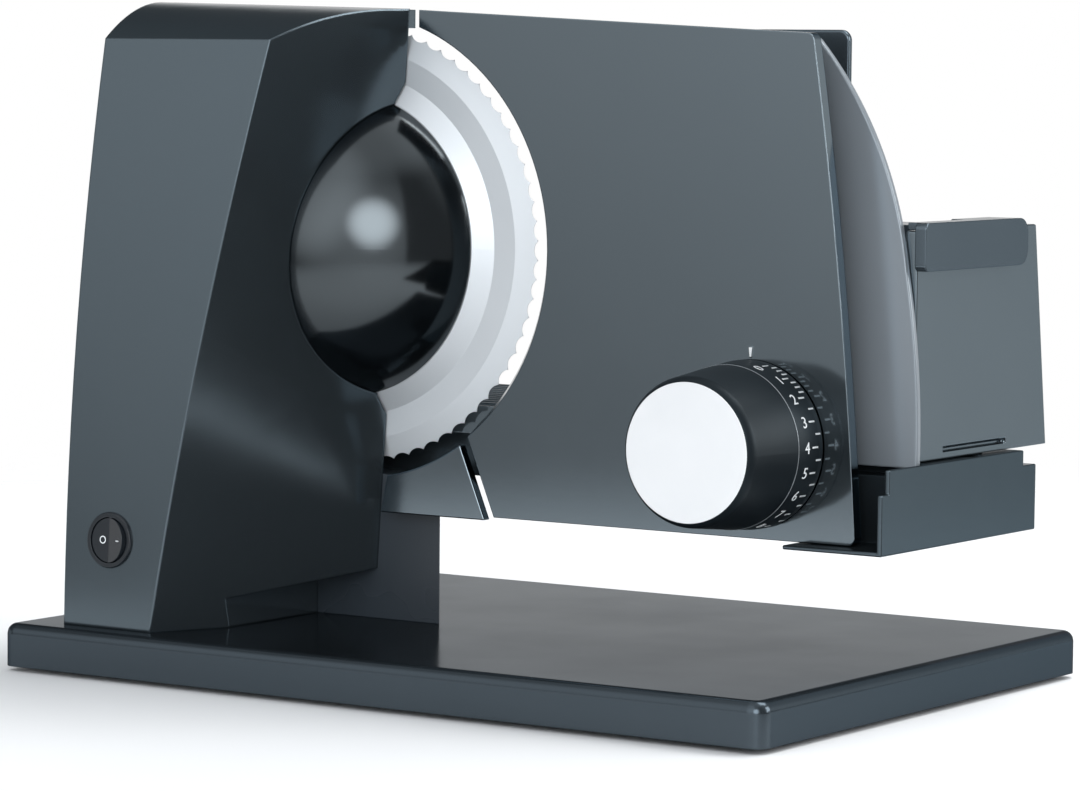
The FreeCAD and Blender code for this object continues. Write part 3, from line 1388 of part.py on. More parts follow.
def dial_spindle():
    """Fixed spindle that the dial winds itself along."""
    piece = Piece("dial_spindle")
    end = stop_y - S.dial_long + S.spindle_short
    back = cut_y + S.bracket_gap + S.bracket_thick
    piece.pad("XZ", [Circle(dial_x, dial_z, S.spindle_radius)], end, back)


def spindle_bracket():
    """Bracket that holds the spindle on the rail's front."""
    piece = Piece("spindle_bracket")
    face = cut_y + S.bracket_gap
    back = face + S.bracket_thick
    half = S.bracket_half
    piece.pad("XZ", [[
        (dial_x - half, column_top), (dial_x + half, column_top), (dial_x + half, dial_z, half),
        (dial_x, dial_z + half, half), (dial_x - half, dial_z),
    ], Circle(dial_x, dial_z, S.spindle_radius)], face, back)
    piece.pad("XZ", [rectangle(dial_x - half, column_top, dial_x + half, column_top + S.bracket_pad)],
              back, rail_y)


# Carriage

floor_left = left + S.floor_in
floor_right = floor_left + S.floor_long
floor_y = cut_y + S.floor_front
floor_back = floor_y + S.floor_deep
floor_z = rail_top + S.floor_up
floor_top = floor_z + S.floor_thick
shield_y = cut_y + S.shield_front
shield_back = shield_y + S.shield_thick
wall_right = floor_right + S.wall_thick
wall_low = rail_top + S.wall_lift
wall_top = wall_low + S.wall_high
floor_seat = floor_top - S.screw_head_high
shoe_screws = [(left + S.shoe_in + S.post_inset, rail_y + S.slot_set - S.rib_pitch * 1.5),
               (left + S.shoe_in + S.shoe_long - S.post_inset, rail_y + S.slot_set - S.rib_pitch * 1.5)]


def carriage_floor():
    """Ribbed floor that the food rides on."""
    piece = Piece("carriage_floor")
    notch_x = left + S.shield_in - S.run_gap * 5
    notch_y = shield_back + S.seat_gap
    piece.pad("XY", [[
        (floor_left, floor_y), (notch_x, floor_y), (notch_x, notch_y), (floor_right, notch_y),
        (floor_right, floor_back), (floor_left, floor_back),
    ]], floor_z, floor_top)
    first = notch_y + S.rib_pitch - S.floor_rib
    rib = piece.pad("YZ", [rectangle(first, floor_top, first + S.floor_rib, floor_top + S.floor_rib)],
                    floor_left, floor_right)
    piece.repeat_along(rib, "Y_Axis", S.rib_pitch, S.ribs - 1)
    piece.pad("XY", [rectangle(floor_left, floor_y, notch_x, floor_y + S.floor_rib)],
              floor_top, floor_top + S.floor_rib)
    piece.pad("XY", [rectangle(floor_left, floor_y, notch_x, floor_y + S.skirt_thick)],
              floor_z - S.skirt_high, floor_z)
    piece.pocket("XY", circles(shoe_screws, S.screw_head + S.seat_gap), floor_seat,
                 floor_top + S.floor_rib)
    piece.pocket("XY", circles(shoe_screws, screw_hole), floor_z, floor_seat)


def carriage_shoe():
    """Shoe under the floor that runs in the rail's slot and behind the rail."""
    piece = Piece("carriage_shoe")
    low = rail_top + S.shoe_lift
    neck = rail_y + S.slot_set + S.run_gap
    neck_back = neck + S.slot_neck - S.run_gap * 2
    wider = (S.slot_foot - S.slot_neck) / 2
    ledge = rail_top - S.slot_neck_deep - S.run_gap
    bottom = rail_top - S.slot_deep + S.run_gap
    lip = rail_back + S.run_gap
    lip_z = rail_top - S.rail_step_drop + S.run_gap
    piece.pad("YZ", [[
        (rail_y + S.shoe_lip, low), (neck, low), (neck, ledge), (neck - wider, ledge),
        (neck - wider, bottom), (neck_back + wider, bottom), (neck_back + wider, ledge),
        (neck_back, ledge), (neck_back, low), (lip, low), (lip, lip_z), (lip + S.shoe_lip, lip_z),
        (lip + S.shoe_lip, floor_z), (rail_y + S.shoe_lip, floor_z),
    ]], left + S.shoe_in, left + S.shoe_in + S.shoe_long)
    piece.pocket("XY", circles(shoe_screws, screw_hole), floor_z - S.screw_head_high * 4, floor_z)


def carriage_wall():
    """Upright wall at the operator's end of the carriage."""
    piece = Piece("carriage_wall")
    low_back = shield_back + S.wall_low_deep
    top_back = shield_back + S.wall_top_deep
    piece.pad("YZ", [[(shield_back, wall_low), (low_back, wall_low), (top_back, wall_top),
                      (shield_back, wall_top)]], floor_right, wall_right)
    slot_low = wall_low + S.wall_slot_up
    slot_front = shield_back + S.wall_slot_in
    piece.pocket("YZ", [rectangle(slot_front, slot_low, slot_front + S.wall_slot_long,
                                  slot_low + S.wall_slot)], wall_right - S.wall_slot_cut, wall_right)


def thumb_guard():
    """Curved shield between the hand and the blade."""
    piece = Piece("thumb_guard")
    in_x = left + S.shield_in
    low = base_top + S.shield_up
    high = base_top + S.shield_high_up
    top_x = left + S.shield_top
    side = bow_radius(S.shield_mid_up - S.shield_up, S.shield_low - S.shield_mid, S.shield_bow)
    piece.pad("XZ", [[
        (in_x, low), (left + S.shield_low, low, side),
        (left + S.shield_mid, base_top + S.shield_mid_up, S.shield_bend),
        (top_x, base_top + S.shield_top_up), (top_x - S.shield_thick, high), (in_x, high),
    ]], shield_y, shield_back)


def carriage_screws():
    """Screws from the floor down into the shoe."""
    piece = Piece("carriage_screws")
    piece.pad("XY", circles(shoe_screws, S.screw_head), floor_seat, floor_top)
    piece.pad("XY", circles(shoe_screws, S.screw_radius), floor_z - S.screw_head_high * 3, floor_seat)


# Pusher

hook_y = cut_y + S.hook_front
hook_back = hook_y + S.hook_long
hook_top = wall_top + S.run_gap + S.hook_thick
leg_out = wall_right + S.run_gap
leg_in = floor_right - S.run_gap
pusher_x = left + S.pusher_left
pusher_y = cut_y + S.pusher_front
pusher_back = pusher_y + S.pusher_thick
pusher_z = base_top + S.pusher_up


def pusher_arm():
    """Arm that hooks over the carriage wall and carries the pusher plate."""
    piece = Piece("pusher_arm")
    under = wall_top + S.run_gap
    outer = leg_out + S.hook_out
    inner = leg_in - S.hook_in
    back_y = hook_y + S.hook_set
    low = hook_top - S.hook_low
    clear = leg_in + S.hook_clear
    nose = S.hook_nose
    bend = S.hook_corner
    end_y = hook_back - bend
    piece.pad("XY", [[
        (clear, hook_y + nose), (outer, hook_y + nose), (outer, end_y), (inner, end_y),
        (inner, back_y), (clear, back_y),
    ]], under, hook_top)
    piece.pad("YZ", [[
        (hook_y + nose, low), (end_y, low, bend), (hook_back, low + bend),
        (hook_back, hook_top - bend, bend), (end_y, hook_top),
        (hook_y + nose, hook_top, nose), (hook_y, hook_top - nose), (hook_y, low + nose, nose),
    ]], leg_out, outer)
    piece.pad("XY", [rectangle(inner, back_y, leg_in, end_y)], low, hook_top)
    arm_x = pusher_x + S.pusher_wide - S.post_inset
    piece.pad("XY", [rectangle(arm_x, pusher_back, inner, pusher_back + S.arm_deep)], low, under)


def pusher_plate():
    """Upright plate that presses the food."""
    piece = Piece("pusher_plate")
    piece.pad("XZ", [rounded(pusher_x, pusher_z, pusher_x + S.pusher_wide, pusher_z + S.pusher_high,
                             S.pusher_corner)], pusher_y, pusher_back)


def square(x, y, half):
    """Outline of a square about a point."""
    return rectangle(x - half, y - half, x + half, y + half)


def pusher_spikes():
    """Pointed spikes on the pusher's face."""
    piece = Piece("pusher_spikes")
    x0 = S.pusher_wide / 2 - S.spike_pitch * 2
    z0 = S.pusher_high / 2 - S.spike_pitch * 1.5
    tip = S.spike_radius / 8
    for column in range(int(S.spike_columns.value)):
        for row in range(int(S.spike_rows.value)):
            x = x0 + S.spike_pitch * column
            z = z0 + S.spike_pitch * row
            piece.loft("XZ", 0, square(x, z, S.spike_radius), -S.spike_long, square(x, z, tip))
    piece.place(pusher_x, pusher_y, pusher_z)


def pusher_grip():
    """Round grip behind the pusher plate."""
    piece = Piece("pusher_grip")
    neck = S.grip_radius * 0.55
    waist = S.grip_long / 3
    edge = S.grip_long - S.grip_radius / 3
    piece.turn([[
        (0, 0), (neck * 1.4, 0), (neck, waist), (S.grip_radius, waist * 2), (S.grip_radius, edge),
        (S.grip_radius * 0.6, S.grip_long), (0, S.grip_long),
    ]])
    piece.place(pusher_x + S.pusher_wide / 2, pusher_back, pusher_z + S.pusher_high * 0.6)


# Switch and cord inlet

switch_z = base_top + S.switch_up
switch_reach = circle_height(front_bend, switch_z - front_mid_z)
lean_angle = slope_angle(switch_z - front_mid_z, switch_reach)


def switch_point():
    """Middle of the switch on the bowed front of the tower."""
    return (left + S.tower_in + S.switch_right, front_mid_y - switch_reach, switch_z)


def set_on_front(piece):
    """Put a piece on the tower's leaning front, about the switch's middle."""
    piece.lean(FreeCAD.Vector(-1, 0, 0), lean_angle)
    piece.place(*switch_point())


def switch_bezel():
    """Round bezel of the switch."""
    piece = Piece("switch_bezel")
    piece.turn([[
        (S.bezel_bore, -S.bezel_proud), (S.bezel_radius - 0.4, -S.bezel_proud),
        (S.bezel_radius, -S.bezel_proud / 2), (S.bezel_radius, 0), (S.bezel_barrel, 0),
        (S.bezel_barrel, S.bezel_long), (S.bezel_bore, S.bezel_long),
    ]])
    deep = S.rocker_radius + S.pivot_out + S.pivot_gap
    piece.pocket("XY", [Circle(0, 0, S.pivot_radius + S.pivot_gap)], -deep, deep)
    set_on_front(piece)


def switch_body():
    """Body of the switch with two terminals."""
    piece = Piece("switch_body")
    back = S.bezel_long + S.switch_long
    piece.pad("XZ", [Circle(0, 0, S.bezel_barrel)], S.bezel_long, back)
    blade_half = S.rocker_radius / 3
    tabs = [rectangle(x - 0.4, -blade_half, x + 0.4, blade_half) for x in (-S.rocker_back, S.rocker_back)]
    piece.pad("XZ", tabs, back, back + S.rocker_radius)
    set_on_front(piece)


def switch_rocker():
    """Rocker, pressed on its left at rest."""
    piece = Piece("switch_rocker")
    radius = S.rocker_radius
    piece.turn([[(0, -radius, radius * 1), (radius, 0, radius * 1), (0, radius)]])
    cos = cosine(S.rocker_tilt)
    sin = sine(S.rocker_tilt)

    def tilted(x, y):
        """A point of the rocker's plan after its tilt."""
        return (cos * x + sin * y, cos * y - sin * x)

    low = -S.rocker_ridge - S.rocker_fall
    far = radius * 1.5
    front = [tilted(-far, -far), tilted(far, -far), tilted(far, low), tilted(0, -S.rocker_ridge),
             tilted(-far, low)]
    back = [tilted(-far, S.rocker_back), tilted(far, S.rocker_back), tilted(far, far),
            tilted(-far, far)]
    piece.pocket("XY", [front], -far, far)
    piece.pocket("XY", [back], -far, far)
    pin = radius + S.pivot_out
    piece.pad("XY", [Circle(0, 0, S.pivot_radius)], -pin, pin)
    set_on_front(piece)


def cord_inlet():
    """Bush in the base's left end where a cord would enter."""
    piece = Piece("cord_inlet")
    wall = S.base_wall + S.seat_gap / 2
    end = wall + S.inlet_lip
    snap = S.inlet_barrel + S.seat_gap * 2
    piece.turn([[
        (0, S.inlet_bore), (end, S.inlet_bore), (end, snap), (wall, snap), (wall, S.inlet_barrel),
        (S.inlet_lip, S.inlet_barrel), (S.inlet_lip, S.inlet_flange), (0, S.inlet_flange),
    ]], axis="H_Axis")
    piece.place(left, inlet_y, inlet_z)


PIECES = [
    base_plate, base_underplate, underplate_screws, base_feet,
    tower_housing, gear_dome, blade_guard, guard_screws,
    switch_bezel, switch_body, switch_rocker, cord_inlet,
    blade, blade_hub, blade_lock, blade_shaft, worm_wheel, worm,
    motor_can, motor_magnets, motor_shaft, armature, commutator, motor_bush, worm_bush,
    gear_bracket, bracket_screws, shaft_bushes,
    arm_column, lower_plate, rail_beam, rail_end_cap,
    stop_shell, stop_panel, stop_rods, stop_screws,
    dial_knob, dial_scale_ring, dial_disc, dial_clip, dial_spindle, spindle_bracket,
    carriage_floor, carriage_shoe, carriage_wall, thumb_guard, carriage_screws,
    pusher_arm, pusher_plate, pusher_spikes, pusher_grip,
]


CUTS = ("PartDesign::Pocket", "PartDesign::Groove", "PartDesign::SubtractiveLoft")
SOLIDS = CUTS + ("PartDesign::Body", "PartDesign::Pad", "PartDesign::Revolution",
                 "PartDesign::AdditiveLoft", "PartDesign::AdditiveHelix", "PartDesign::Fillet",
                 "PartDesign::PolarPattern", "PartDesign::LinearPattern")


def check_document():
    """Stop if an object failed, a cut took nothing away or a shape isn't sound."""
    faults = []
    for thing in doc.Objects:
        if "Invalid" in thing.State or "Error" in thing.State:
            faults.append(f"{thing.Label}: {thing.State}")
    broken = [thing for thing in doc.Objects if hasattr(thing, "Shape") and thing.TypeId in SOLIDS
              and (thing.Shape.isNull() or not thing.Shape.isValid())]
    faults += [f"{thing.Label}: shape is not sound" for thing in broken]
    for thing in doc.Objects:
        if thing.TypeId in CUTS and thing not in broken and thing.BaseFeature not in broken:
            if thing.Shape.Volume > thing.BaseFeature.Shape.Volume - 0.01:
                faults.append(f"{thing.Label}: cuts nothing")
    if faults:
        raise RuntimeError("\n".join(faults))


def main():
    """Build every piece, check the document and write the pieces."""
    for build in PIECES:
        build()
    doc.recompute()
    check_document()
    os.makedirs("parts", exist_ok=True)
    for body in Piece.made:
        body.Shape.exportStep(f"parts/{body.Label}.step")
    solids = sum(len(body.Shape.Solids) for body in Piece.made)
    print(f"{len(Piece.made)} pieces, {solids} solids")


main()
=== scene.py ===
"""Looks of an electric food slicer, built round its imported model.

Lengths are in metres in the frame of the model: +X is the operator's end, +Y the carriage side and
+Z up, with the feet on Z = 0. Pattern sizes are given in millimetres.
"""
from __future__ import annotations

import logging
import math
from dataclasses import dataclass
from enum import Enum
from typing import Any

import bmesh
import bpy
from mathutils import Matrix, Vector

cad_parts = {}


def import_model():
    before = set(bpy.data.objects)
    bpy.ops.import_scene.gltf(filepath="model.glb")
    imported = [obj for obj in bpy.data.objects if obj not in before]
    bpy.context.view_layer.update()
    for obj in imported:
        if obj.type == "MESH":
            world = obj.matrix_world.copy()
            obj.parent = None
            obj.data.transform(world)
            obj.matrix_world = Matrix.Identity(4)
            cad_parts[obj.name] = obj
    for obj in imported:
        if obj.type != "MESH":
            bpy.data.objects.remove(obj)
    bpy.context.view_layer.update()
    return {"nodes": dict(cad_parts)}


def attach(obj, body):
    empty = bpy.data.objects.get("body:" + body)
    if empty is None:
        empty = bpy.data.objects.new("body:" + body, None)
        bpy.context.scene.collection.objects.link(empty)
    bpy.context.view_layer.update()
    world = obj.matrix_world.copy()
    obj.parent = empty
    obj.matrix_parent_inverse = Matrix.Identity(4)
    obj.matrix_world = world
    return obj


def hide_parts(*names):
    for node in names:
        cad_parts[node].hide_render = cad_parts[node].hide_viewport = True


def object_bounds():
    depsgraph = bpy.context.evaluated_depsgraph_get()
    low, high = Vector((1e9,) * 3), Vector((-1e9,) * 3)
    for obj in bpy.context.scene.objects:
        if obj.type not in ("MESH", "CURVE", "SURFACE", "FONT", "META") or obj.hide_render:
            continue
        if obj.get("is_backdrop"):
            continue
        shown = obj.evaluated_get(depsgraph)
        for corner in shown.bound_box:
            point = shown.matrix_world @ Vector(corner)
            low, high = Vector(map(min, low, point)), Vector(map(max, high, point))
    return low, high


LOG = logging.getLogger("slicer")
MM = 0.001
# Scale of a noise pattern whose marks are one millimetre apart
ONE_MM_NOISE = 1000
# Scale along straight marks, which draws them out to fifty times their spacing
LONG_MARKS = 0.02
# Corners of loose triangles that are closer than this are one corner
SAME_CORNER = 2e-6
# Faces that meet at fewer degrees than this are one face
FLAT_DEGREES = 0.05
# Edges sharper than this many degrees are rounded
SHARP_DEGREES = 32.0
Place = tuple[float, float, float]
Profile = list[tuple[float, float]]


# Colours, nodes and directions

def linear(code: str) -> tuple[float, float, float, float]:
    """Turn an sRGB colour code into linear red, green, blue and alpha.

    Args:
        code: Six hex digits after a hash sign.

    Returns:
        The linear colour with an alpha of 1.
    """
    parts = [int(code[at:at + 2], 16) / 255 for at in (1, 3, 5)]
    red, green, blue = (c / 12.92 if c <= 0.04045 else ((c + 0.055) / 1.055) ** 2.4 for c in parts)
    return red, green, blue, 1.0


def add_node(tree: bpy.types.NodeTree, kind: str, inputs: dict[Any, Any] | None = None,
             **settings: Any) -> bpy.types.Node:
    """Add a node with its settings, values and links.

    Args:
        tree: The node tree to add to.
        kind: The node's type.
        inputs: Values or sockets for the node's inputs, by name or number.
        settings: The node's own settings.

    Returns:
        The new node.
    """
    node = tree.nodes.new(kind)
    for name, value in settings.items():
        setattr(node, name, value)
    for socket, value in (inputs or {}).items():
        if isinstance(value, bpy.types.NodeSocket):
            tree.links.new(value, node.inputs[socket])
        else:
            node.inputs[socket].default_value = value
    return node


def blank_material(name: str) -> bpy.types.Material:
    """Make a material whose node tree is empty.

    Args:
        name: The material's name.

    Returns:
        The new material.
    """
    material = bpy.data.materials.new(name)
    material.use_nodes = True
    material.node_tree.nodes.clear()
    return material


def direction(azimuth: float, elevation: float = 0.0) -> Vector:
    """Turn a direction in degrees into a vector.

    Args:
        azimuth: Degrees round from the front.
        elevation: Degrees above the horizon.

    Returns:
        The vector, with a length of 1.
    """
    az, el = math.radians(azimuth), math.radians(elevation)
    return Vector((math.sin(az) * math.cos(el), -math.cos(az) * math.cos(el), math.sin(el)))


class Marks(Enum):
    """Which way a surface's fine marks run."""

    NONE = "none"
    ALONG_X = "along x"
    ROUND_Y = "round the y axis"


@dataclass(frozen=True)
class Finish:
    """A surface finish as its maker would specify it.

    Attributes:
        name: What the real material is and how its surface was made.
        shade: Main colour.
        second: Colour of its slow variation.
        rough: Roughness of the plain surface.
        rough_spread: How far the roughness wanders.
        metal: Share of bare metal or metal flake, from 0 to 1.
        graze: Tint of a metal or flake coat at a grazing angle.
        ior: Refractive index of a plastic or paint.
        grain_mm: Size of the surface's grain.
        grain_high_mm: Height of the grain.
        cloud_mm: Size of the slow variation.
        marks: Which way the fine marks run.
        marks_mm: Spacing of the fine marks.
        marks_high_mm: Height of the fine marks.
        middle: Point that turned marks run round.
        edge_mm: Radius that light sees on every edge.
    """

    name: str
    shade: str
    second: str
    rough: float = 0.4
    rough_spread: float = 0.05
    metal: float = 0.0
    graze: str = "#ffffff"
    ior: float = 1.5
    grain_mm: float = 0.5
    grain_high_mm: float = 0.004
    cloud_mm: float = 60.0
    marks: Marks = Marks.NONE
    marks_mm: float = 0.3
    marks_high_mm: float = 0.003
    middle: Place = (0.0, 0.0, 0.0)
    edge_mm: float = 0.35

    def material(self) -> bpy.types.Material:
        """Build the finish's material, unless it is already there.

        Returns:
            The material.
        """
        found = bpy.data.materials.get(self.name)
        if found:
            return found
        material = blank_material(self.name)
        tree = material.node_tree
        spot = add_node(tree, "ShaderNodeTexCoord").outputs["Object"]
        cloud = add_node(tree, "ShaderNodeTexNoise", {
            "Vector": spot, "Scale": ONE_MM_NOISE / self.cloud_mm, "Detail": 3.0, "Roughness": 0.55})
        colour = add_node(tree, "ShaderNodeMix", {0: cloud.outputs["Fac"], 6: linear(self.shade),
                                                  7: linear(self.second)}, data_type="RGBA")
        rough = add_node(tree, "ShaderNodeMapRange", {
            "Value": cloud.outputs["Fac"], "From Min": 0.3, "From Max": 0.7,
            "To Min": self.rough - self.rough_spread, "To Max": self.rough + self.rough_spread})
        bevel = add_node(tree, "ShaderNodeBevel", {"Radius": self.edge_mm * MM}, samples=8)
        grain = add_node(tree, "ShaderNodeTexNoise", {
            "Vector": spot, "Scale": ONE_MM_NOISE / self.grain_mm, "Detail": 2.0})
        bump = add_node(tree, "ShaderNodeBump", {
            "Height": grain.outputs["Fac"], "Distance": self.grain_high_mm * MM,
            "Normal": bevel.outputs["Normal"]})
        normal = bump.outputs["Normal"]
        if self.marks is not Marks.NONE:
            normal = add_node(tree, "ShaderNodeBump", {
                "Height": self.fine_marks(tree, spot), "Distance": self.marks_high_mm * MM,
                "Normal": normal}).outputs["Normal"]
        shader = add_node(tree, "ShaderNodeBsdfPrincipled", {
            "Base Color": colour.outputs[2], "Roughness": rough.outputs["Result"], "Normal": normal})
        shader.inputs["Metallic"].default_value = self.metal
        shader.inputs["Specular Tint"].default_value = linear(self.graze)
        if not self.metal:
            shader.inputs["IOR"].default_value = self.ior
        add_node(tree, "ShaderNodeOutputMaterial", {"Surface": shader.outputs["BSDF"]})
        return material

    def fine_marks(self, tree: bpy.types.NodeTree, spot: bpy.types.NodeSocket) -> bpy.types.NodeSocket:
        """Add the nodes of the fine marks.

        Args:
            tree: The material's node tree.
            spot: The object coordinates.

        Returns:
            The height of the marks.
        """
        if self.marks is Marks.ROUND_Y:
            shifted = add_node(tree, "ShaderNodeVectorMath", {0: spot, 1: self.middle}, operation="SUBTRACT")
            flat = add_node(tree, "ShaderNodeVectorMath", {0: shifted.outputs[0], 1: (1.0, 0.0, 1.0)},
                            operation="MULTIPLY")
            away = add_node(tree, "ShaderNodeVectorMath", {0: flat.outputs[0]}, operation="LENGTH")
            where = add_node(tree, "ShaderNodeCombineXYZ", {"X": away.outputs["Value"]})
        else:
            where = add_node(tree, "ShaderNodeMapping", {"Vector": spot, "Scale": (LONG_MARKS, 1.0, 1.0)})
        marks = add_node(tree, "ShaderNodeTexNoise", {
            "Vector": where.outputs[0], "Scale": ONE_MM_NOISE / self.marks_mm, "Detail": 2.0})
        return marks.outputs["Fac"]


BLADE_MIDDLE = (-0.0773, -0.0159, 0.1638)
DIAL_MIDDLE = (0.1092, -0.028, 0.097)

# Metal flake lacquer on the plates, sprayed and polished: mirrors its surroundings darkly and a
# little softly, so that the dial shows in it nearly black
PLATE_LACQUER = Finish("flake_lacquer_plate_grey", "#747e84", "#778187", rough=0.11, rough_spread=0.02,
                       metal=1.0, graze="#8a8f93", grain_mm=2.4, grain_high_mm=0.0016, edge_mm=0.6)
# The same lacquer on the motor tower, a shade deeper
TOWER_LACQUER = Finish("flake_lacquer_anthracite", "#5d676d", "#606a70", rough=0.14, rough_spread=0.02,
                       metal=0.82, graze="#7b8084", grain_mm=2.4, grain_high_mm=0.0016, edge_mm=1.1)
# Lacquered base: less flake and more body colour, shiny on top
BASE_LACQUER = Finish("lacquered_base_anthracite", "#444c52", "#474f55", rough=0.16, rough_spread=0.03,
                      metal=0.8, graze="#7b8186", grain_mm=2.0, grain_high_mm=0.0016, edge_mm=0.7)
# Painted aluminium of the carriage and of the plate's rear panel, with a finer flake
CARRIAGE_PAINT = Finish("painted_aluminium_grey", "#6f797f", "#737d83", rough=0.14, rough_spread=0.02,
                        metal=0.9, graze="#83888c", grain_mm=1.8, grain_high_mm=0.0016, edge_mm=0.6)
# Lighter satin paint of the thumb guard, with little flake
SHIELD_PAINT = Finish("satin_paint_light_grey", "#868d93", "#8a9197", rough=0.24, rough_spread=0.02,
                      metal=0.35, graze="#9aa0a4", grain_mm=1.8, grain_high_mm=0.0016, edge_mm=0.6)
# Darker paint of the rail and its end cap
CAP_PAINT = Finish("painted_zinc_dark_grey", "#535d63", "#576167", rough=0.18, rough_spread=0.02,
                   metal=0.85, graze="#6b7074", grain_mm=1.8, grain_high_mm=0.0018, edge_mm=0.6)
# High gloss black ABS: nearly black, with sharp reflections
DOME_ABS = Finish("high_gloss_abs_black", "#06080a", "#080a0c", rough=0.12, rough_spread=0.02,
                  ior=2.0, graze="#d8e4ea", grain_mm=3.0, grain_high_mm=0.001)
# Plain moulded polypropylene of the cover under the base: matt with a fine spark eroded grain
COVER_PP = Finish("grained_polypropylene_grey", "#45494d", "#4a4e52", rough=0.6, grain_mm=0.4,
                  grain_high_mm=0.012)
# Smooth moulded ABS of the column: satin and dark
COLUMN_ABS = Finish("satin_abs_anthracite", "#2c3238", "#30363c", rough=0.3, grain_mm=0.8,
                    grain_high_mm=0.003, edge_mm=0.6)
# Hollow ground stainless steel: bright, with fine grinding rings
BLADE_STEEL = Finish("hollow_ground_stainless", "#ccd0d4", "#d7dbde", rough=0.46, rough_spread=0.04,
                     metal=0.6, marks=Marks.ROUND_Y, marks_mm=0.35, marks_high_mm=0.006,
                     middle=BLADE_MIDDLE, grain_mm=1.0, grain_high_mm=0.002, edge_mm=0.2)
# Turned and clear anodised aluminium disc of the dial
DISC_ALUMINIUM = Finish("turned_aluminium_clear", "#eceef0", "#f2f3f4", rough=0.42, metal=0.5,
                        marks=Marks.ROUND_Y, marks_mm=0.3, marks_high_mm=0.002, middle=DIAL_MIDDLE,
                        cloud_mm=25)
# Soft touch moulded plastic of the dial and small fittings
KNOB_SOFT = Finish("soft_touch_abs_black", "#101418", "#13181c", rough=0.46, ior=1.38, graze="#c4dbe6",
                   grain_mm=0.5, grain_high_mm=0.005, edge_mm=0.5)
# Satin polycarbonate of the switch
SWITCH_PC = Finish("satin_polycarbonate_black", "#1a1f24", "#1d2227", rough=0.24, grain_mm=0.6,
                   grain_high_mm=0.003, edge_mm=0.3)
# Polished grey ABS of the pusher, which mirrors its surroundings
PUSHER_ABS = Finish("polished_abs_grey", "#59636a", "#5d676e", rough=0.16, rough_spread=0.02, metal=0.8,
                    graze="#767b7f", grain_mm=1.2, grain_high_mm=0.002, edge_mm=0.6)
# Moulded thermoplastic rubber: dull and slightly dusty
FOOT_RUBBER = Finish("thermoplastic_rubber_black", "#1c1d1e", "#232425", rough=0.8, grain_mm=0.6,
                     grain_high_mm=0.02)
# Centreless ground steel of shafts and rods
ROD_STEEL = Finish("ground_steel", "#c9cccd", "#d0d3d4", rough=0.22, metal=1.0, marks=Marks.ROUND_Y,
                   marks_mm=0.4, marks_high_mm=0.002)
# Zinc plated steel of screws and pressings
ZINC_STEEL = Finish("zinc_plated_steel", "#aeb3b6", "#bdc0bf", rough=0.35, metal=1.0, cloud_mm=8,
                    grain_mm=0.8, grain_high_mm=0.004)
# Pressure die cast zinc as it leaves the tool: dull, with flow clouds
CAST_ZINC = Finish("die_cast_zinc", "#999da0", "#a7abad", rough=0.5, metal=1.0, cloud_mm=15,
                   grain_mm=0.9, grain_high_mm=0.015)
# Sintered ferrite of the magnets
FERRITE = Finish("sintered_ferrite", "#2a2a2c", "#323234", rough=0.7, grain_mm=0.4, grain_high_mm=0.01)
# Stacked electrical steel, seen from the side as fine layers
CORE_STEEL = Finish("stacked_electrical_steel", "#73777a", "#7f8386", rough=0.45, metal=1.0,
                    marks=Marks.ALONG_X, marks_mm=0.5, marks_high_mm=0.02)
# Turned copper of the commutator
COPPER = Finish("turned_copper", "#b06f47", "#bd7a50", rough=0.3, metal=1.0, cloud_mm=6)
# Oil filled sintered bronze of the bushes
BRONZE = Finish("sintered_bronze", "#9d7a49", "#ab8753", rough=0.5, metal=1.0, cloud_mm=5,
                grain_mm=0.25, grain_high_mm=0.01)
# Natural polyamide of the worm wheel and hub: milky and slightly waxy
NYLON = Finish("natural_polyamide", "#dcd8c8", "#e5e1d3", rough=0.42, grain_mm=1.0, grain_high_mm=0.003)
# Screen printed figures on the dial and the switch; the same white on the pointer mark is a painted highlight
PRINT_AND_PAINTED_HIGHLIGHT = Finish("screen_printed_white", "#e3e7e9", "#eaedee", rough=0.55, grain_mm=0.3,
               grain_high_mm=0.002, edge_mm=0.02)
# Satin grey bead at the front of the scale; its light grey is a painted highlight along that edge
BEAD_PAINTED_HIGHLIGHT = Finish("turned_bead_satin", "#8c9296", "#949a9e", rough=0.3, metal=0.6, grain_mm=0.5,
                    grain_high_mm=0.002, edge_mm=0.05)


# Pieces

def dress(node: bpy.types.Object, finish: Finish) -> None:
    """Give every material slot of an object a finish.

    Args:
        node: The object to dress.
        finish: Its finish.
    """
    if not node.material_slots:
        node.data.materials.append(finish.material())
    for slot in node.material_slots:
        slot.material = finish.material()


def linked(name: str, data: bpy.types.ID) -> bpy.types.Object:
    """Put a mesh, lens, lamp or text into the scene as an object at the origin.

    Args:
        name: The object's name.
        data: What it shows.

    Returns:
        The new object.
    """
    item = bpy.data.objects.new(name, data)
    bpy.context.scene.collection.objects.link(item)
    return item


def meshed(name: str, work: bmesh.types.BMesh) -> bpy.types.Object:
    """Turn a bmesh into an object at the origin.

    Args:
        name: The object's name.
        work: Its shape, in the model's frame; it is freed.

    Returns:
        The new object.
    """
    mesh = bpy.data.meshes.new(name)
    work.to_mesh(mesh)
    work.free()
    return linked(name, mesh)


def make_piece(name: str, work: bmesh.types.BMesh, finish: Finish, smooth: float = 35.0) -> bpy.types.Object:
    """Turn a bmesh into a dressed object at the origin.

    Args:
        name: The piece's name.
        work: Its shape, in the model's frame; it is freed.
        finish: Its finish.
        smooth: Edges sharper than this many degrees stay sharp.

    Returns:
        The new object.
    """
    piece = meshed(name, work)
    piece.data.materials.clear()
    piece.data.shade_smooth()
    piece.data.set_sharp_from_angle(angle=math.radians(smooth))
    dress(piece, finish)
    return piece


def discard(piece: bpy.types.Object) -> None:
    """Remove an object and its mesh.

    Args:
        piece: The object to remove.
    """
    mesh = piece.data
    bpy.data.objects.remove(piece)
    bpy.data.meshes.remove(mesh)


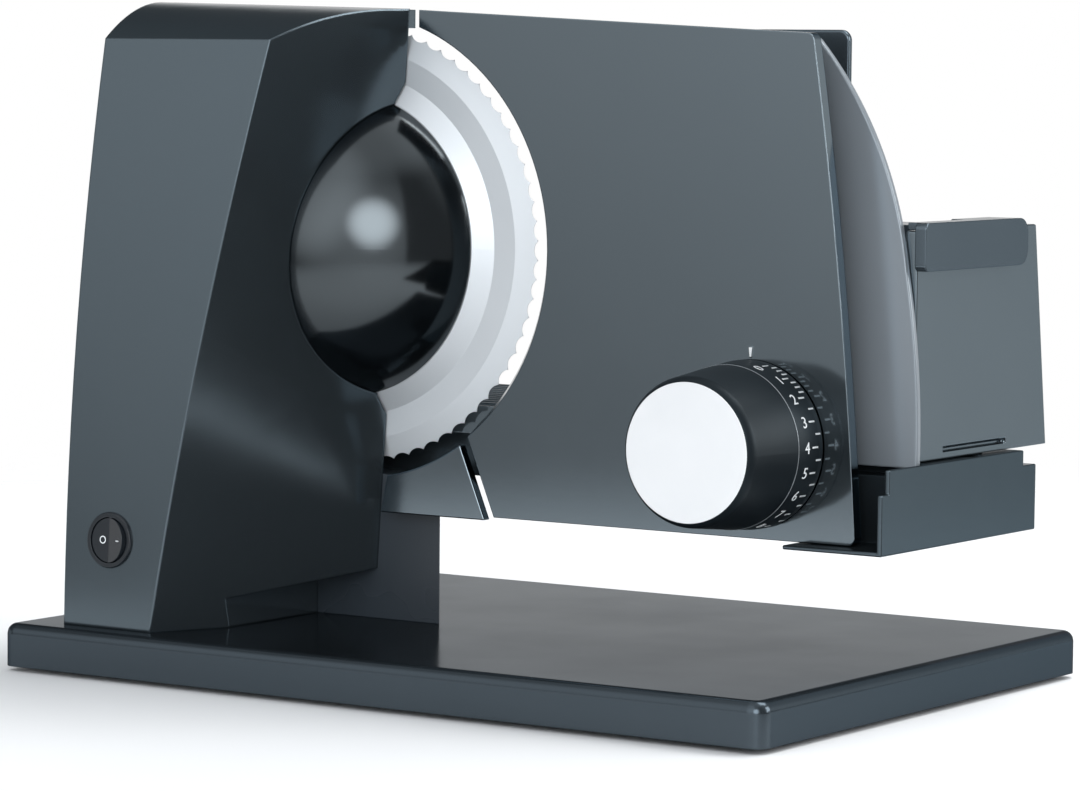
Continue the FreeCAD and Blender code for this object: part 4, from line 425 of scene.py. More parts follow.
def flattened(piece: bpy.types.Object) -> bpy.types.Object:
    """Turn an object and its modifiers into a plain mesh at the origin.

    Args:
        piece: The object, which is replaced.

    Returns:
        The plain object, with the same name.
    """
    graph = bpy.context.evaluated_depsgraph_get()
    mesh = bpy.data.meshes.new_from_object(piece.evaluated_get(graph), depsgraph=graph)
    mesh.transform(piece.matrix_world)
    name = piece.name
    discard(piece)
    mesh.name = name
    return linked(name, mesh)


def settle(piece: bpy.types.Object, body: str, slot: str, *nodes: str) -> None:
    """Tie a piece to its body and hide the nodes it stands for.

    Args:
        piece: The finished piece.
        body: The body it rides on.
        slot: Not used.
        nodes: The nodes it replaces.
    """
    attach(piece, body)
    if nodes:
        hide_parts(*nodes)
    LOG.info("%s rides on %s", piece.name, body)


def merged(node: bpy.types.Object) -> bmesh.types.BMesh:
    """Copy a node's loose triangles into one merged shape.

    Args:
        node: The node, which stays as it is.

    Returns:
        The merged shape in the model's frame.
    """
    work = bmesh.new()
    work.from_mesh(node.data)
    work.transform(node.matrix_world)
    bmesh.ops.remove_doubles(work, verts=work.verts, dist=SAME_CORNER)
    return work


def turned(profile: Profile, steps: int, closed: bool = False) -> bmesh.types.BMesh:
    """Turn a profile about the Z axis.

    Args:
        profile: Radius and height of each corner, in metres; a radius of 0 is a pole.
        steps: Steps round the axis.
        closed: Whether the profile closes on itself.

    Returns:
        The turned shape.
    """
    work = bmesh.new()
    angles = [2 * math.pi * k / steps for k in range(steps)]
    rings = []
    for radius, height in profile:
        if radius == 0:
            rings.append([work.verts.new((0, 0, height))] * steps)
            continue
        rings.append([work.verts.new((radius * math.cos(a), radius * math.sin(a), height)) for a in angles])
    for low, high in zip(rings, rings[1:] + rings[:1] if closed else rings[1:]):
        for k in range(steps):
            corners = [low[k], low[(k + 1) % steps], high[(k + 1) % steps], high[k]]
            work.faces.new(list(dict.fromkeys(corners)))
    bmesh.ops.recalc_face_normals(work, faces=work.faces)
    return work


def islands(node: bpy.types.Object) -> list[tuple[Vector, Vector]]:
    """Find the separate solids of a node.

    Args:
        node: The node to look at.

    Returns:
        The lowest and highest corner of each solid.
    """
    work = merged(node)
    left = set(work.verts)
    found = []
    while left:
        open_verts = [left.pop()]
        island = list(open_verts)
        while open_verts:
            vert = open_verts.pop()
            for edge in vert.link_edges:
                other = edge.other_vert(vert)
                if other in left:
                    left.remove(other)
                    island.append(other)
                    open_verts.append(other)
        low = Vector([min(v.co[axis] for v in island) for axis in range(3)])
        high = Vector([max(v.co[axis] for v in island) for axis in range(3)])
        found.append((low, high))
    work.free()
    return sorted(found, key=lambda box: tuple(box[0]))


class PointTree:
    """Geometry Nodes tree that puts a copy of a shape on every point of an object.

    Attributes:
        tree: The node tree.
        given: Its inputs: the points and the named sizes.
        outward: The direction that each point gives its copy.
    """

    def __init__(self, name: str, sizes: dict[str, str]) -> None:
        """Start the tree with its inputs and its output.

        Args:
            name: The tree's name.
            sizes: Kind of socket by the name of each size.
        """
        self.tree = bpy.data.node_groups.new(name, "GeometryNodeTree")
        for label, kind in {"Geometry": "Geometry", **sizes}.items():
            self.tree.interface.new_socket(label, in_out="INPUT", socket_type=f"NodeSocket{kind}")
        self.tree.interface.new_socket("Geometry", in_out="OUTPUT", socket_type="NodeSocketGeometry")
        self.given = add_node(self.tree, "NodeGroupInput")
        self.outward = add_node(self.tree, "GeometryNodeInputNamedAttribute", {"Name": "outward"},
                                data_type="FLOAT_VECTOR")

    def place(self, shape: bpy.types.NodeSocket, turn: bpy.types.NodeSocket, size: bpy.types.NodeSocket,
              material: bpy.types.Material) -> None:
        """Put the copies on the points, make them real and give them their material.

        Args:
            shape: What is copied.
            turn: Each copy's turn.
            size: Each copy's scale.
            material: The copies' material.
        """
        copies = add_node(self.tree, "GeometryNodeInstanceOnPoints", {
            "Points": self.given.outputs["Geometry"], "Instance": shape, "Rotation": turn, "Scale": size})
        real = add_node(self.tree, "GeometryNodeRealizeInstances", {"Geometry": copies.outputs[0]})
        painted = add_node(self.tree, "GeometryNodeSetMaterial", {
            "Geometry": real.outputs[0], "Material": material})
        add_node(self.tree, "NodeGroupOutput", {"Geometry": painted.outputs[0]})

    def grow(self, piece: bpy.types.Object, sizes: dict[str, float]) -> bpy.types.Object:
        """Run the tree on an object's points and keep the result as a plain mesh.

        Args:
            piece: The object with the points, which is replaced.
            sizes: The tree's sizes, by name.

        Returns:
            The plain object, with the same name.
        """
        modifier = piece.modifiers.new("copies", "NODES")
        modifier.node_group = self.tree
        for item in self.tree.interface.items_tree:
            if item.name in sizes:
                modifier[item.identifier] = sizes[item.name]
        return flattened(piece)


def copies_on_points(template: bpy.types.Object, material: bpy.types.Material) -> PointTree:
    """Build the tree that puts a copy of a template on every point, each turned a little differently.

    Args:
        template: The object to copy, with its axis on Z.
        material: The copies' material.

    Returns:
        The tree, with a size, a largest turn and a seed.
    """
    points = PointTree(f"copies_of_{template.name}", {"Size": "Float", "Turn": "Float", "Seed": "Int"})
    tree, given, outward = points.tree, points.given, points.outward
    stand = add_node(tree, "FunctionNodeAlignRotationToVector", {"Vector": outward.outputs[0]}, axis="Z")
    angle = add_node(tree, "FunctionNodeRandomValue", {
        2: 0.0, 3: given.outputs["Turn"], "Seed": given.outputs["Seed"]}, data_type="FLOAT")
    twist = add_node(tree, "FunctionNodeAxisAngleToRotation", {"Axis": (0.0, 0.0, 1.0),
                                                               "Angle": angle.outputs[1]})
    turn = add_node(tree, "FunctionNodeRotateRotation", {0: stand.outputs[0], 1: twist.outputs[0]},
                    rotation_space="LOCAL")
    shape = add_node(tree, "GeometryNodeObjectInfo", {"Object": template})
    points.place(shape.outputs["Geometry"], turn.outputs[0], given.outputs["Size"], material)
    return points


def repeated(name: str, template: bpy.types.Object, finish: Finish,
             points: list[tuple[Vector, Vector]], turn: float = 0.0) -> bpy.types.Object:
    """Put copies of a template on points and make them one plain piece.

    Args:
        name: The piece's name.
        template: The object to copy, with its axis on Z; it is removed.
        finish: The copies' finish.
        points: Place and outward direction of each copy.
        turn: Largest turn of a copy about its own axis, in radians.

    Returns:
        The new piece.
    """
    work = bmesh.new()
    outward = work.verts.layers.float_vector.new("outward")
    for place, way in points:
        work.verts.new(place)[outward] = way
    tree = copies_on_points(template, finish.material())
    plain = tree.grow(meshed(name, work), {"Size": 1.0, "Turn": turn, "Seed": 7})
    discard(template)
    return plain


@dataclass(frozen=True)
class CrossScrew:
    """Pan head screw with a cross recess.

    Attributes:
        head: Radius of the head.
        high: Height of the head.
        lip: Bevel of the head's rim.
        shank: Radius of the shank.
        reach: Reach of the recess from the middle.
        half: Half the width of a recess arm.
        deep: Depth of the recess.
        narrow: Share of its width that the recess keeps at its floor.
        steps: Steps round the head.
    """

    head: float = 0.0036
    high: float = 0.0014
    lip: float = 0.00042
    shank: float = 0.0019
    reach: float = 0.0021
    half: float = 0.00045
    deep: float = 0.0009
    narrow: float = 0.7
    steps: int = 32

    def template(self, long: float) -> bpy.types.Object:
        """Make one screw whose head looks along Z, with the head's face at the origin.

        Args:
            long: Whole length of the screw.

        Returns:
            The screw.
        """
        work = turned([(self.head - self.lip, 0), (self.head, -self.lip), (self.head, -self.high),
                       (self.shank, -self.high), (self.shank, -long), (0, -long)], self.steps)
        rim = [edge for edge in work.edges if all(v.co.z == 0 for v in edge.verts)]
        arm, half = self.reach, self.half
        outline = [(arm, -half), (arm, half), (half, half), (half, arm), (-half, arm), (-half, half),
                   (-arm, half), (-arm, -half), (-half, -half), (-half, -arm), (half, -arm), (half, -half)]
        top = [work.verts.new((x, y, 0)) for x, y in outline]
        floor = [work.verts.new((x * self.narrow, y * self.narrow, -self.deep)) for x, y in outline]
        cross = [work.edges.new((a, b)) for a, b in zip(top, top[1:] + top[:1])]
        bmesh.ops.triangle_fill(work, edges=rim + cross, use_beauty=True)
        count = len(outline)
        for k in range(count):
            n = (k + 1) % count
            work.faces.new((top[k], top[n], floor[n], floor[k]))
        work.faces.new(floor)
        bmesh.ops.recalc_face_normals(work, faces=work.faces)
        return make_piece("screw_template", work, ZINC_STEEL)


@dataclass
class Assembly:
    """Common ground of the slicer's sub-assemblies.

    Attributes:
        nodes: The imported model's nodes, by name.
    """

    nodes: dict[str, bpy.types.Object]

    def dress_all(self, finishes: dict[str, Finish]) -> None:
        """Dress several nodes.

        Args:
            finishes: Finish by node name.
        """
        for name, finish in finishes.items():
            dress(self.nodes[name], finish)
            LOG.info("%s is %s", name, finish.name)

    def soften(self, node: str, finish: Finish, width_mm: float, body: str, slot: str) -> None:
        """Replace a node by a copy with its sharp edges rounded off, as paint or a mould rounds them.

        Args:
            node: The node's name.
            finish: Its finish.
            width_mm: Width of the rounding.
            body: The body it rides on.
            slot: The record's material slot.
        """
        work = merged(self.nodes[node])
        bmesh.ops.dissolve_limit(work, angle_limit=math.radians(FLAT_DEGREES), verts=work.verts,
                                 edges=work.edges)
        piece = make_piece(f"{node}_rounded", work, finish, 180.0)
        rounding = piece.modifiers.new("rounding", "BEVEL")
        rounding.width = width_mm * MM
        rounding.segments = 2
        rounding.limit_method = "ANGLE"
        rounding.angle_limit = math.radians(SHARP_DEGREES)
        piece.modifiers.new("weights", "WEIGHTED_NORMAL").weight = 80
        settle(flattened(piece), body, slot, node)

    def cross_screws(self, node: str, outward: Place, body: str) -> None:
        """Replace a node of plain screws by screws with a cross recess.

        Args:
            node: The node's name.
            outward: Direction that the heads look in.
            body: The body they ride on.
        """
        way = Vector(outward)
        axis = max(range(3), key=lambda k: abs(way[k]))
        points = []
        long = 0.0
        for low, high in islands(self.nodes[node]):
            place = (low + high) / 2
            place[axis] = high[axis] if way[axis] > 0 else low[axis]
            long = high[axis] - low[axis]
            points.append((place, way))
        piece = repeated(f"{node}_crossed", CrossScrew().template(long), ZINC_STEEL, points, math.pi)
        settle(piece, body, "screw_steel", node)


@dataclass(frozen=True)
class Glow:
    """Soft patch of light on the studio's walls.

    Attributes:
        azimuth: Direction of its middle, in degrees round from the front.
        elevation: Height of its middle, in degrees.
        inner: Where it starts to fade, in degrees from its middle.
        outer: Where it ends, in degrees from its middle.
        strength: Its light.
        stop: Azimuth that its right side stops at, or none.
        fade: Half the width of the fade at that stop.
    """

    azimuth: float
    elevation: float
    inner: float
    outer: float
    strength: float
    stop: float | None = None
    fade: float = 0.03

    def light(self, tree: bpy.types.NodeTree, way: bpy.types.NodeSocket) -> bpy.types.NodeSocket:
        """Add the nodes of this patch.

        Args:
            tree: The world's node tree.
            way: The direction looked in.

        Returns:
            The patch's light in that direction.
        """
        middle = direction(self.azimuth, self.elevation)
        near = add_node(tree, "ShaderNodeVectorMath", {0: way, 1: middle}, operation="DOT_PRODUCT")
        patch = add_node(tree, "ShaderNodeMapRange", {
            "Value": near.outputs["Value"], "From Min": math.cos(math.radians(self.outer)),
            "From Max": math.cos(math.radians(self.inner)), "To Max": self.strength},
            interpolation_type="SMOOTHSTEP").outputs["Result"]
        if self.stop is None:
            return patch
        edge = math.radians(self.stop)
        side = add_node(tree, "ShaderNodeVectorMath", {0: way, 1: (math.cos(edge), math.sin(edge), 0.0)},
                        operation="DOT_PRODUCT")
        kept = add_node(tree, "ShaderNodeMapRange", {
            "Value": side.outputs["Value"], "From Min": self.fade, "From Max": -self.fade},
            interpolation_type="SMOOTHSTEP")
        return add_node(tree, "ShaderNodeMath", {0: patch, 1: kept.outputs["Result"]},
                        operation="MULTIPLY").outputs[0]


@dataclass
class Studio:
    """Camera, floor and light, set like a product photograph.

    Attributes:
        azimuth: Direction the camera looks from, in degrees round from the front.
        elevation: Its height above the horizon, in degrees.
        roll: Its turn about its own line of sight, in degrees.
        distance: Its distance from the target.
        lens: Focal length in millimetres on a 36 mm sensor.
        target: The point it looks at.
        room: Light of the room where no patch falls.
        glows: Soft patches of light on the walls.
        backdrop: Direction of the middle of the white backdrop, in degrees round from the front.
        backdrop_side: Where its sides end and where it is whole, as a share of the way to its middle.
        backdrop_top: Where its top ends and where it is whole, as a share of the way up.
        card: Left, right, front and rear edge and height of the black card.
        aim: The point that the softboxes face.
        floor_half: Half the floor's side.
        floor_fade: Where the floor starts to fade and where it is gone, from its middle.
    """

    azimuth: float = 33.784
    elevation: float = 4.509
    roll: float = 0.529
    distance: float = 1.66157
    lens: float = 144.44
    target: Place = (-0.001634, 0.0, 0.10743)
    room: float = 0.19
    glows: tuple[Glow, ...] = (
        Glow(-18.0, 30.0, 14.0, 46.0, 0.95, stop=57.0),
        Glow(24.0, 8.0, 0.0, 60.0, 0.8, stop=57.0),
        Glow(33.0, 16.0, 0.0, 22.0, 5.0),
        Glow(0.0, 90.0, 20.0, 45.0, 0.6),
        Glow(150.0, 35.0, 20.0, 60.0, 0.5),
    )
    backdrop: float = 212.0
    backdrop_side: tuple[float, float] = (-0.1, 0.3)
    backdrop_top: tuple[float, float] = (0.34, 0.16)
    card: tuple[float, float, float, float, float] = (0.26, 0.9, -0.25, 0.25, 0.001)
    aim: Place = (0.0, 0.0, 0.1)
    floor_half: float = 1.2
    floor_fade: tuple[float, float] = (0.42, 0.95)

    def build(self) -> None:
        """Set up the camera, the floor, the lamps, the card and the world."""
        self.camera()
        self.floor()
        self.lamp("top_softbox", at=(0.35, 0.75, 1.5), wide=1.2, high=0.9, power=16.0)
        self.lamp("right_softbox", at=(1.6, 0.9, 0.7), wide=0.9, high=0.9, power=14.0)
        self.flag()
        self.world()

    def flag(self) -> None:
        """Lay a black card to the right that only reflections see, so that the tower's side stays deep."""
        work = bmesh.new()
        left, right, front, rear, high = self.card
        work.faces.new([work.verts.new((x, y, high)) for x, y in
                        ((left, front), (right, front), (right, rear), (left, rear))])
        flag = meshed("flag", work)
        material = blank_material("black_card")
        shader = add_node(material.node_tree, "ShaderNodeBsdfDiffuse", {"Color": linear("#101214")})
        add_node(material.node_tree, "ShaderNodeOutputMaterial", {"Surface": shader.outputs[0]})
        flag.data.materials.append(material)
        for kind in ("camera", "diffuse", "shadow", "transmission", "volume_scatter"):
            setattr(flag, f"visible_{kind}", False)
        flag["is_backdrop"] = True

    def camera(self) -> None:
        """Place the camera at the photograph's angle."""
        az, roll = math.radians(self.azimuth), math.radians(self.roll)
        back = direction(self.azimuth, self.elevation)
        right = Vector((math.cos(az), math.sin(az), 0))
        up = back.cross(right)
        turned_right = right * math.cos(roll) + up * math.sin(roll)
        turned_up = up * math.cos(roll) - right * math.sin(roll)
        data = bpy.data.cameras.new("camera")
        data.lens = self.lens
        data.sensor_width = 36
        data.sensor_fit = "HORIZONTAL"
        data.clip_end = 50
        camera = linked("camera", data)
        turn = Matrix((turned_right, turned_up, back)).transposed().to_4x4()
        camera.matrix_world = Matrix.Translation(Vector(self.target) + back * self.distance) @ turn
        bpy.context.scene.camera = camera

    def lamp(self, name: str, at: Place, wide: float, high: float, power: float) -> None:
        """Add a softbox that faces the slicer.

        Args:
            name: The lamp's name.
            at: Its place.
            wide: Its width.
            high: Its height.
            power: Its power in watts.
        """
        data = bpy.data.lights.new(name, "AREA")
        data.shape = "RECTANGLE"
        data.size = wide
        data.size_y = high
        data.energy = power
        lamp = linked(name, data)
        lamp.location = at
        lamp.rotation_euler = (Vector(self.aim) - Vector(at)).to_track_quat("-Z", "Y").to_euler()

    def floor(self) -> None:
        """Lay a matt white floor that keeps the slicer's shadow and fades into the white behind."""
        work = bmesh.new()
        bmesh.ops.create_grid(work, x_segments=1, y_segments=1, size=self.floor_half)
        floor = meshed("floor", work)
        material = blank_material("matt_white_table")
        tree = material.node_tree
        spot = add_node(tree, "ShaderNodeTexCoord").outputs["Object"]
        away = add_node(tree, "ShaderNodeVectorMath", {0: spot}, operation="LENGTH")
        fade = add_node(tree, "ShaderNodeMapRange", {
            "Value": away.outputs["Value"], "From Min": self.floor_fade[0], "From Max": self.floor_fade[1]},
            interpolation_type="SMOOTHSTEP")
        shader = add_node(tree, "ShaderNodeBsdfPrincipled", {"Base Color": linear("#f7f8f9"),
                                                             "Roughness": 0.6})
        clear = add_node(tree, "ShaderNodeBsdfTransparent")
        both = add_node(tree, "ShaderNodeMixShader", {
            0: fade.outputs["Result"], 1: shader.outputs[0], 2: clear.outputs[0]})
        add_node(tree, "ShaderNodeOutputMaterial", {"Surface": both.outputs[0]})
        floor.data.materials.append(material)
        floor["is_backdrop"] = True

    def world(self) -> None:
        """Light everything softly, with plain white behind the slicer.

        The camera, glass and whatever mirrors the space behind the slicer see the white backdrop.
        """
        world = bpy.data.worlds.new("studio")
        bpy.context.scene.world = world
        world.use_nodes = True
        tree = world.node_tree
        tree.nodes.clear()
        way = add_node(tree, "ShaderNodeTexCoord").outputs["Generated"]
        total = add_node(tree, "ShaderNodeValue").outputs[0]
        total.default_value = self.room
        for glow in self.glows:
            total = add_node(tree, "ShaderNodeMath", {0: total, 1: glow.light(tree, way)},
                             operation="ADD").outputs[0]
        behind = add_node(tree, "ShaderNodeVectorMath", {0: way, 1: direction(self.backdrop)},
                          operation="DOT_PRODUCT")
        side, top = self.backdrop_side, self.backdrop_top
        wide = add_node(tree, "ShaderNodeMapRange", {
            "Value": behind.outputs["Value"], "From Min": side[0], "From Max": side[1]},
            interpolation_type="SMOOTHSTEP")
        level = add_node(tree, "ShaderNodeSeparateXYZ", {0: way})
        high = add_node(tree, "ShaderNodeMapRange", {
            "Value": level.outputs["Z"], "From Min": top[0], "From Max": top[1]},
            interpolation_type="SMOOTHSTEP")
        screen = add_node(tree, "ShaderNodeMath", {0: wide.outputs["Result"], 1: high.outputs["Result"]},
                          operation="MULTIPLY")
        path = add_node(tree, "ShaderNodeLightPath")
        mirrored = add_node(tree, "ShaderNodeMath", {0: path.outputs["Is Glossy Ray"], 1: screen.outputs[0]},
                            operation="MULTIPLY")
        seen = add_node(tree, "ShaderNodeMath", {0: path.outputs["Is Camera Ray"],
                                                 1: path.outputs["Is Transmission Ray"]}, operation="MAXIMUM")
        white_share = add_node(tree, "ShaderNodeMath", {0: seen.outputs[0], 1: mirrored.outputs[0]},
                               operation="MAXIMUM")
        soft = add_node(tree, "ShaderNodeBackground", {"Color": linear("#f5f8fb"), "Strength": total})
        white = add_node(tree, "ShaderNodeBackground", {"Color": (1, 1, 1, 1), "Strength": 1.0})
        both = add_node(tree, "ShaderNodeMixShader", {
            0: white_share.outputs[0], 1: soft.outputs[0], 2: white.outputs[0]})
        add_node(tree, "ShaderNodeOutputWorld", {"Surface": both.outputs[0]})


@dataclass
class Base(Assembly):
    """Flat base, its cover, screws and feet.

    Attributes:
        foot: Radius of a foot's pad.
        pad: Thickness of the pad.
        stem: Radius of the stem through the cover.
        barb: Radius of the head that holds the foot.
        grooves: Middle radius of each groove in the tread.
        groove_half: Half the width of a groove.
        groove_deep: Depth of a groove.
        groove_floor: Share of its width that a groove keeps at its floor.
        lip: Bevel of the pad's lower rim.
        steps: Steps round a foot.
    """

    foot: float = 0.012
    pad: float = 0.002
    stem: float = 0.005
    barb: float = 0.0065
    grooves: tuple[float, ...] = (0.004, 0.0065, 0.009)
    groove_half: float = 0.0005
    groove_deep: float = 0.0007
    groove_floor: float = 0.6
    lip: float = 0.0004
    steps: int = 48

    def build(self) -> None:
        """Dress the base and cut the treads of its feet."""
        self.dress_all({"base_plate": BASE_LACQUER, "base_underplate": COVER_PP})
        self.cross_screws("underplate_screws", (0, 0, -1), "frame_body")
        self.feet()

    def feet(self) -> None:
        """Turn one foot with its tread and put it on all four places."""
        profile: Profile = [(0, 0)]
        wide, narrow = self.groove_half, self.groove_half * self.groove_floor
        for radius in self.grooves:
            profile += [(radius - wide, 0), (radius - narrow, self.groove_deep),
                        (radius + narrow, self.groove_deep), (radius + wide, 0)]
        profile += [(self.foot - self.lip, 0), (self.foot, self.lip), (self.foot, self.pad),
                    (self.stem, self.pad), (self.stem, self.pad * 2), (self.barb, self.pad * 2),
                    (self.stem, self.pad * 3), (0, self.pad * 3)]
        template = make_piece("foot_template", turned(profile, self.steps), FOOT_RUBBER)
        points = []
        for low, high in islands(self.nodes["base_feet"]):
            points.append((Vector(((low.x + high.x) / 2, (low.y + high.y) / 2, 0)), Vector((0, 0, 1))))
        piece = repeated("base_feet_treaded", template, FOOT_RUBBER, points)
        settle(piece, "frame_body", "foot_rubber", "base_feet")


@dataclass
class Tower(Assembly):
    """Motor tower with its dome, guard, switch and cord inlet.

    Attributes:
        switch: Middle of the switch on the leaning front.
        lean: Lean of the front, in degrees.
        tilt: Tilt of the rocker at rest, in degrees.
        ridge: Middle of the rocker in front of its pivot.
        fall: How far the rocker's halves come forward over their reach.
        reach: Reach of the halves.
        ring: Radius of the round mark.
        bar: Length of the straight mark.
        line: Width of the marks' lines.
        off_at: Place of the round mark across the rocker.
        on_at: Place of the straight mark across the rocker.
        ink: Thickness of the marks.
        gap: Room between the rocker and the marks.
        steps: Steps round the round mark.
    """

    switch: Place = (-0.128, -0.104334, 0.052)
    lean: float = 3.325
    tilt: float = 8.0
    ridge: float = 0.0008
    fall: float = 0.0016
    reach: float = 0.01275
    ring: float = 0.0013
    bar: float = 0.0017
    line: float = 0.00038
    off_at: float = -0.0029
    on_at: float = 0.0053
    ink: float = 0.00004
    gap: float = 0.00002
    steps: int = 40

    def build(self) -> None:
        """Dress the tower and print the switch."""
        self.dress_all({"tower_housing": TOWER_LACQUER, "blade_guard": TOWER_LACQUER,
                        "gear_dome": DOME_ABS, "switch_bezel": SWITCH_PC, "switch_body": KNOB_SOFT,
                        "switch_rocker": SWITCH_PC, "cord_inlet": KNOB_SOFT})
        self.cross_screws("guard_screws", (0, 1, 0), "frame_body")
        settle(self.switch_marks(), "rocker_body", "switch_black")

    def on_rocker(self, across: float, up: float, proud: float) -> Vector:
        """Point on or over the rocker's face.

        Args:
            across: Distance to the right of its middle.
            up: Distance above its middle.
            proud: Height over its face.

        Returns:
            The point in the model's frame.
        """
        tilt = math.radians(self.tilt)
        front = -self.ridge - self.fall * abs(across) / self.reach - proud
        x = math.cos(tilt) * across + math.sin(tilt) * front
        y = math.cos(tilt) * front - math.sin(tilt) * across
        lean = Matrix.Rotation(-math.radians(self.lean), 3, "X")
        return Vector(self.switch) + lean @ Vector((x, y, up))

    def switch_marks(self) -> bpy.types.Object:
        """Print the ring and the bar on the rocker's halves.

        Returns:
            The two marks as one piece.
        """
        half = self.line / 2
        work = turned([(self.ring - half, 0), (self.ring + half, 0), (self.ring + half, self.ink),
                       (self.ring - half, self.ink)], self.steps, closed=True)
        for vert in work.verts:
            vert.co = self.on_rocker(self.off_at + vert.co.x, vert.co.y, vert.co.z + self.gap)
        for vert in bmesh.ops.create_cube(work, size=1.0)["verts"]:
            across = self.on_at + vert.co.x * self.bar
            vert.co = self.on_rocker(across, vert.co.y * self.line, (vert.co.z + 0.5) * self.ink + self.gap)
        bmesh.ops.recalc_face_normals(work, faces=work.faces)
        return make_piece("switch_marks", work, PRINT_AND_PAINTED_HIGHLIGHT)


@dataclass
class Blade(Assembly):
    """Serrated blade with its hub, lock and shaft."""

    def build(self) -> None:
        """Dress the blade."""
        self.dress_all({"blade": BLADE_STEEL, "blade_hub": NYLON, "blade_lock": KNOB_SOFT,
                        "blade_shaft": ROD_STEEL, "worm_wheel": NYLON})


@dataclass
class Drive(Assembly):
    """Motor, worm and the bracket that carries them."""

    def build(self) -> None:
        """Dress the drive."""
        self.dress_all({"worm": ROD_STEEL, "motor_can": ZINC_STEEL, "motor_magnets": FERRITE,
                        "motor_shaft": ROD_STEEL, "armature": CORE_STEEL, "commutator": COPPER,
                        "motor_bush": BRONZE, "worm_bush": BRONZE, "gear_bracket": CAST_ZINC,
                        "shaft_bushes": BRONZE})
        self.cross_screws("bracket_screws", (0, 0, 1), "frame_body")


@dataclass
class Arm(Assembly):
    """Column, lower plate, rail and end cap."""

    def build(self) -> None:
        """Dress the arm and round its edges."""
        self.dress_all({"arm_column": COLUMN_ABS})
        self.soften("lower_plate", PLATE_LACQUER, 0.5, "frame_body", "plate_grey")
        self.soften("rail_beam", CAP_PAINT, 0.5, "frame_body", "carriage_grey")
        self.soften("rail_end_cap", CAP_PAINT, 0.5, "frame_body", "carriage_grey")


@dataclass
class ThicknessPlate(Assembly):
    """Sliding thickness plate with its rear panel, rods and screws.

    Attributes:
        mark: Middle of the pointer mark's raised face.
        mark_high: Height of the mark.
        mark_top: Its width at the top.
        mark_tip: Its width at the bottom.
        ink: Thickness of the white on it, a painted highlight.
    """

    mark: Place = (0.1092, -0.02841, 0.1307)
    mark_high: float = 0.0034
    mark_top: float = 0.0014
    mark_tip: float = 0.0007
    ink: float = 0.00004

    def build(self) -> None:
        """Dress the plate, round its edges and paint the pointer mark's highlight white."""
        self.dress_all({"stop_panel": CARRIAGE_PAINT, "stop_rods": ROD_STEEL})
        self.soften("stop_shell", PLATE_LACQUER, 0.6, "stop_body", "plate_grey")
        self.cross_screws("stop_screws", (0, 1, 0), "stop_body")
        settle(self.pointer_print(), "stop_body", "plate_grey")

    def pointer_print(self) -> bpy.types.Object:
        """Paint the raised face of the pointer mark white, as a painted highlight.

        Returns:
            The painted highlight.
        """
        work = bmesh.new()
        middle = Vector(self.mark)
        for vert in bmesh.ops.create_cube(work, size=1.0)["verts"]:
            wide = self.mark_tip if vert.co.z < 0 else self.mark_top
            vert.co = middle + Vector((vert.co.x * wide, (vert.co.y - 0.5) * self.ink,
                                       vert.co.z * self.mark_high))
        # The white on the mark's face is a painted highlight
        return make_piece("pointer_print", work, PRINT_AND_PAINTED_HIGHLIGHT)


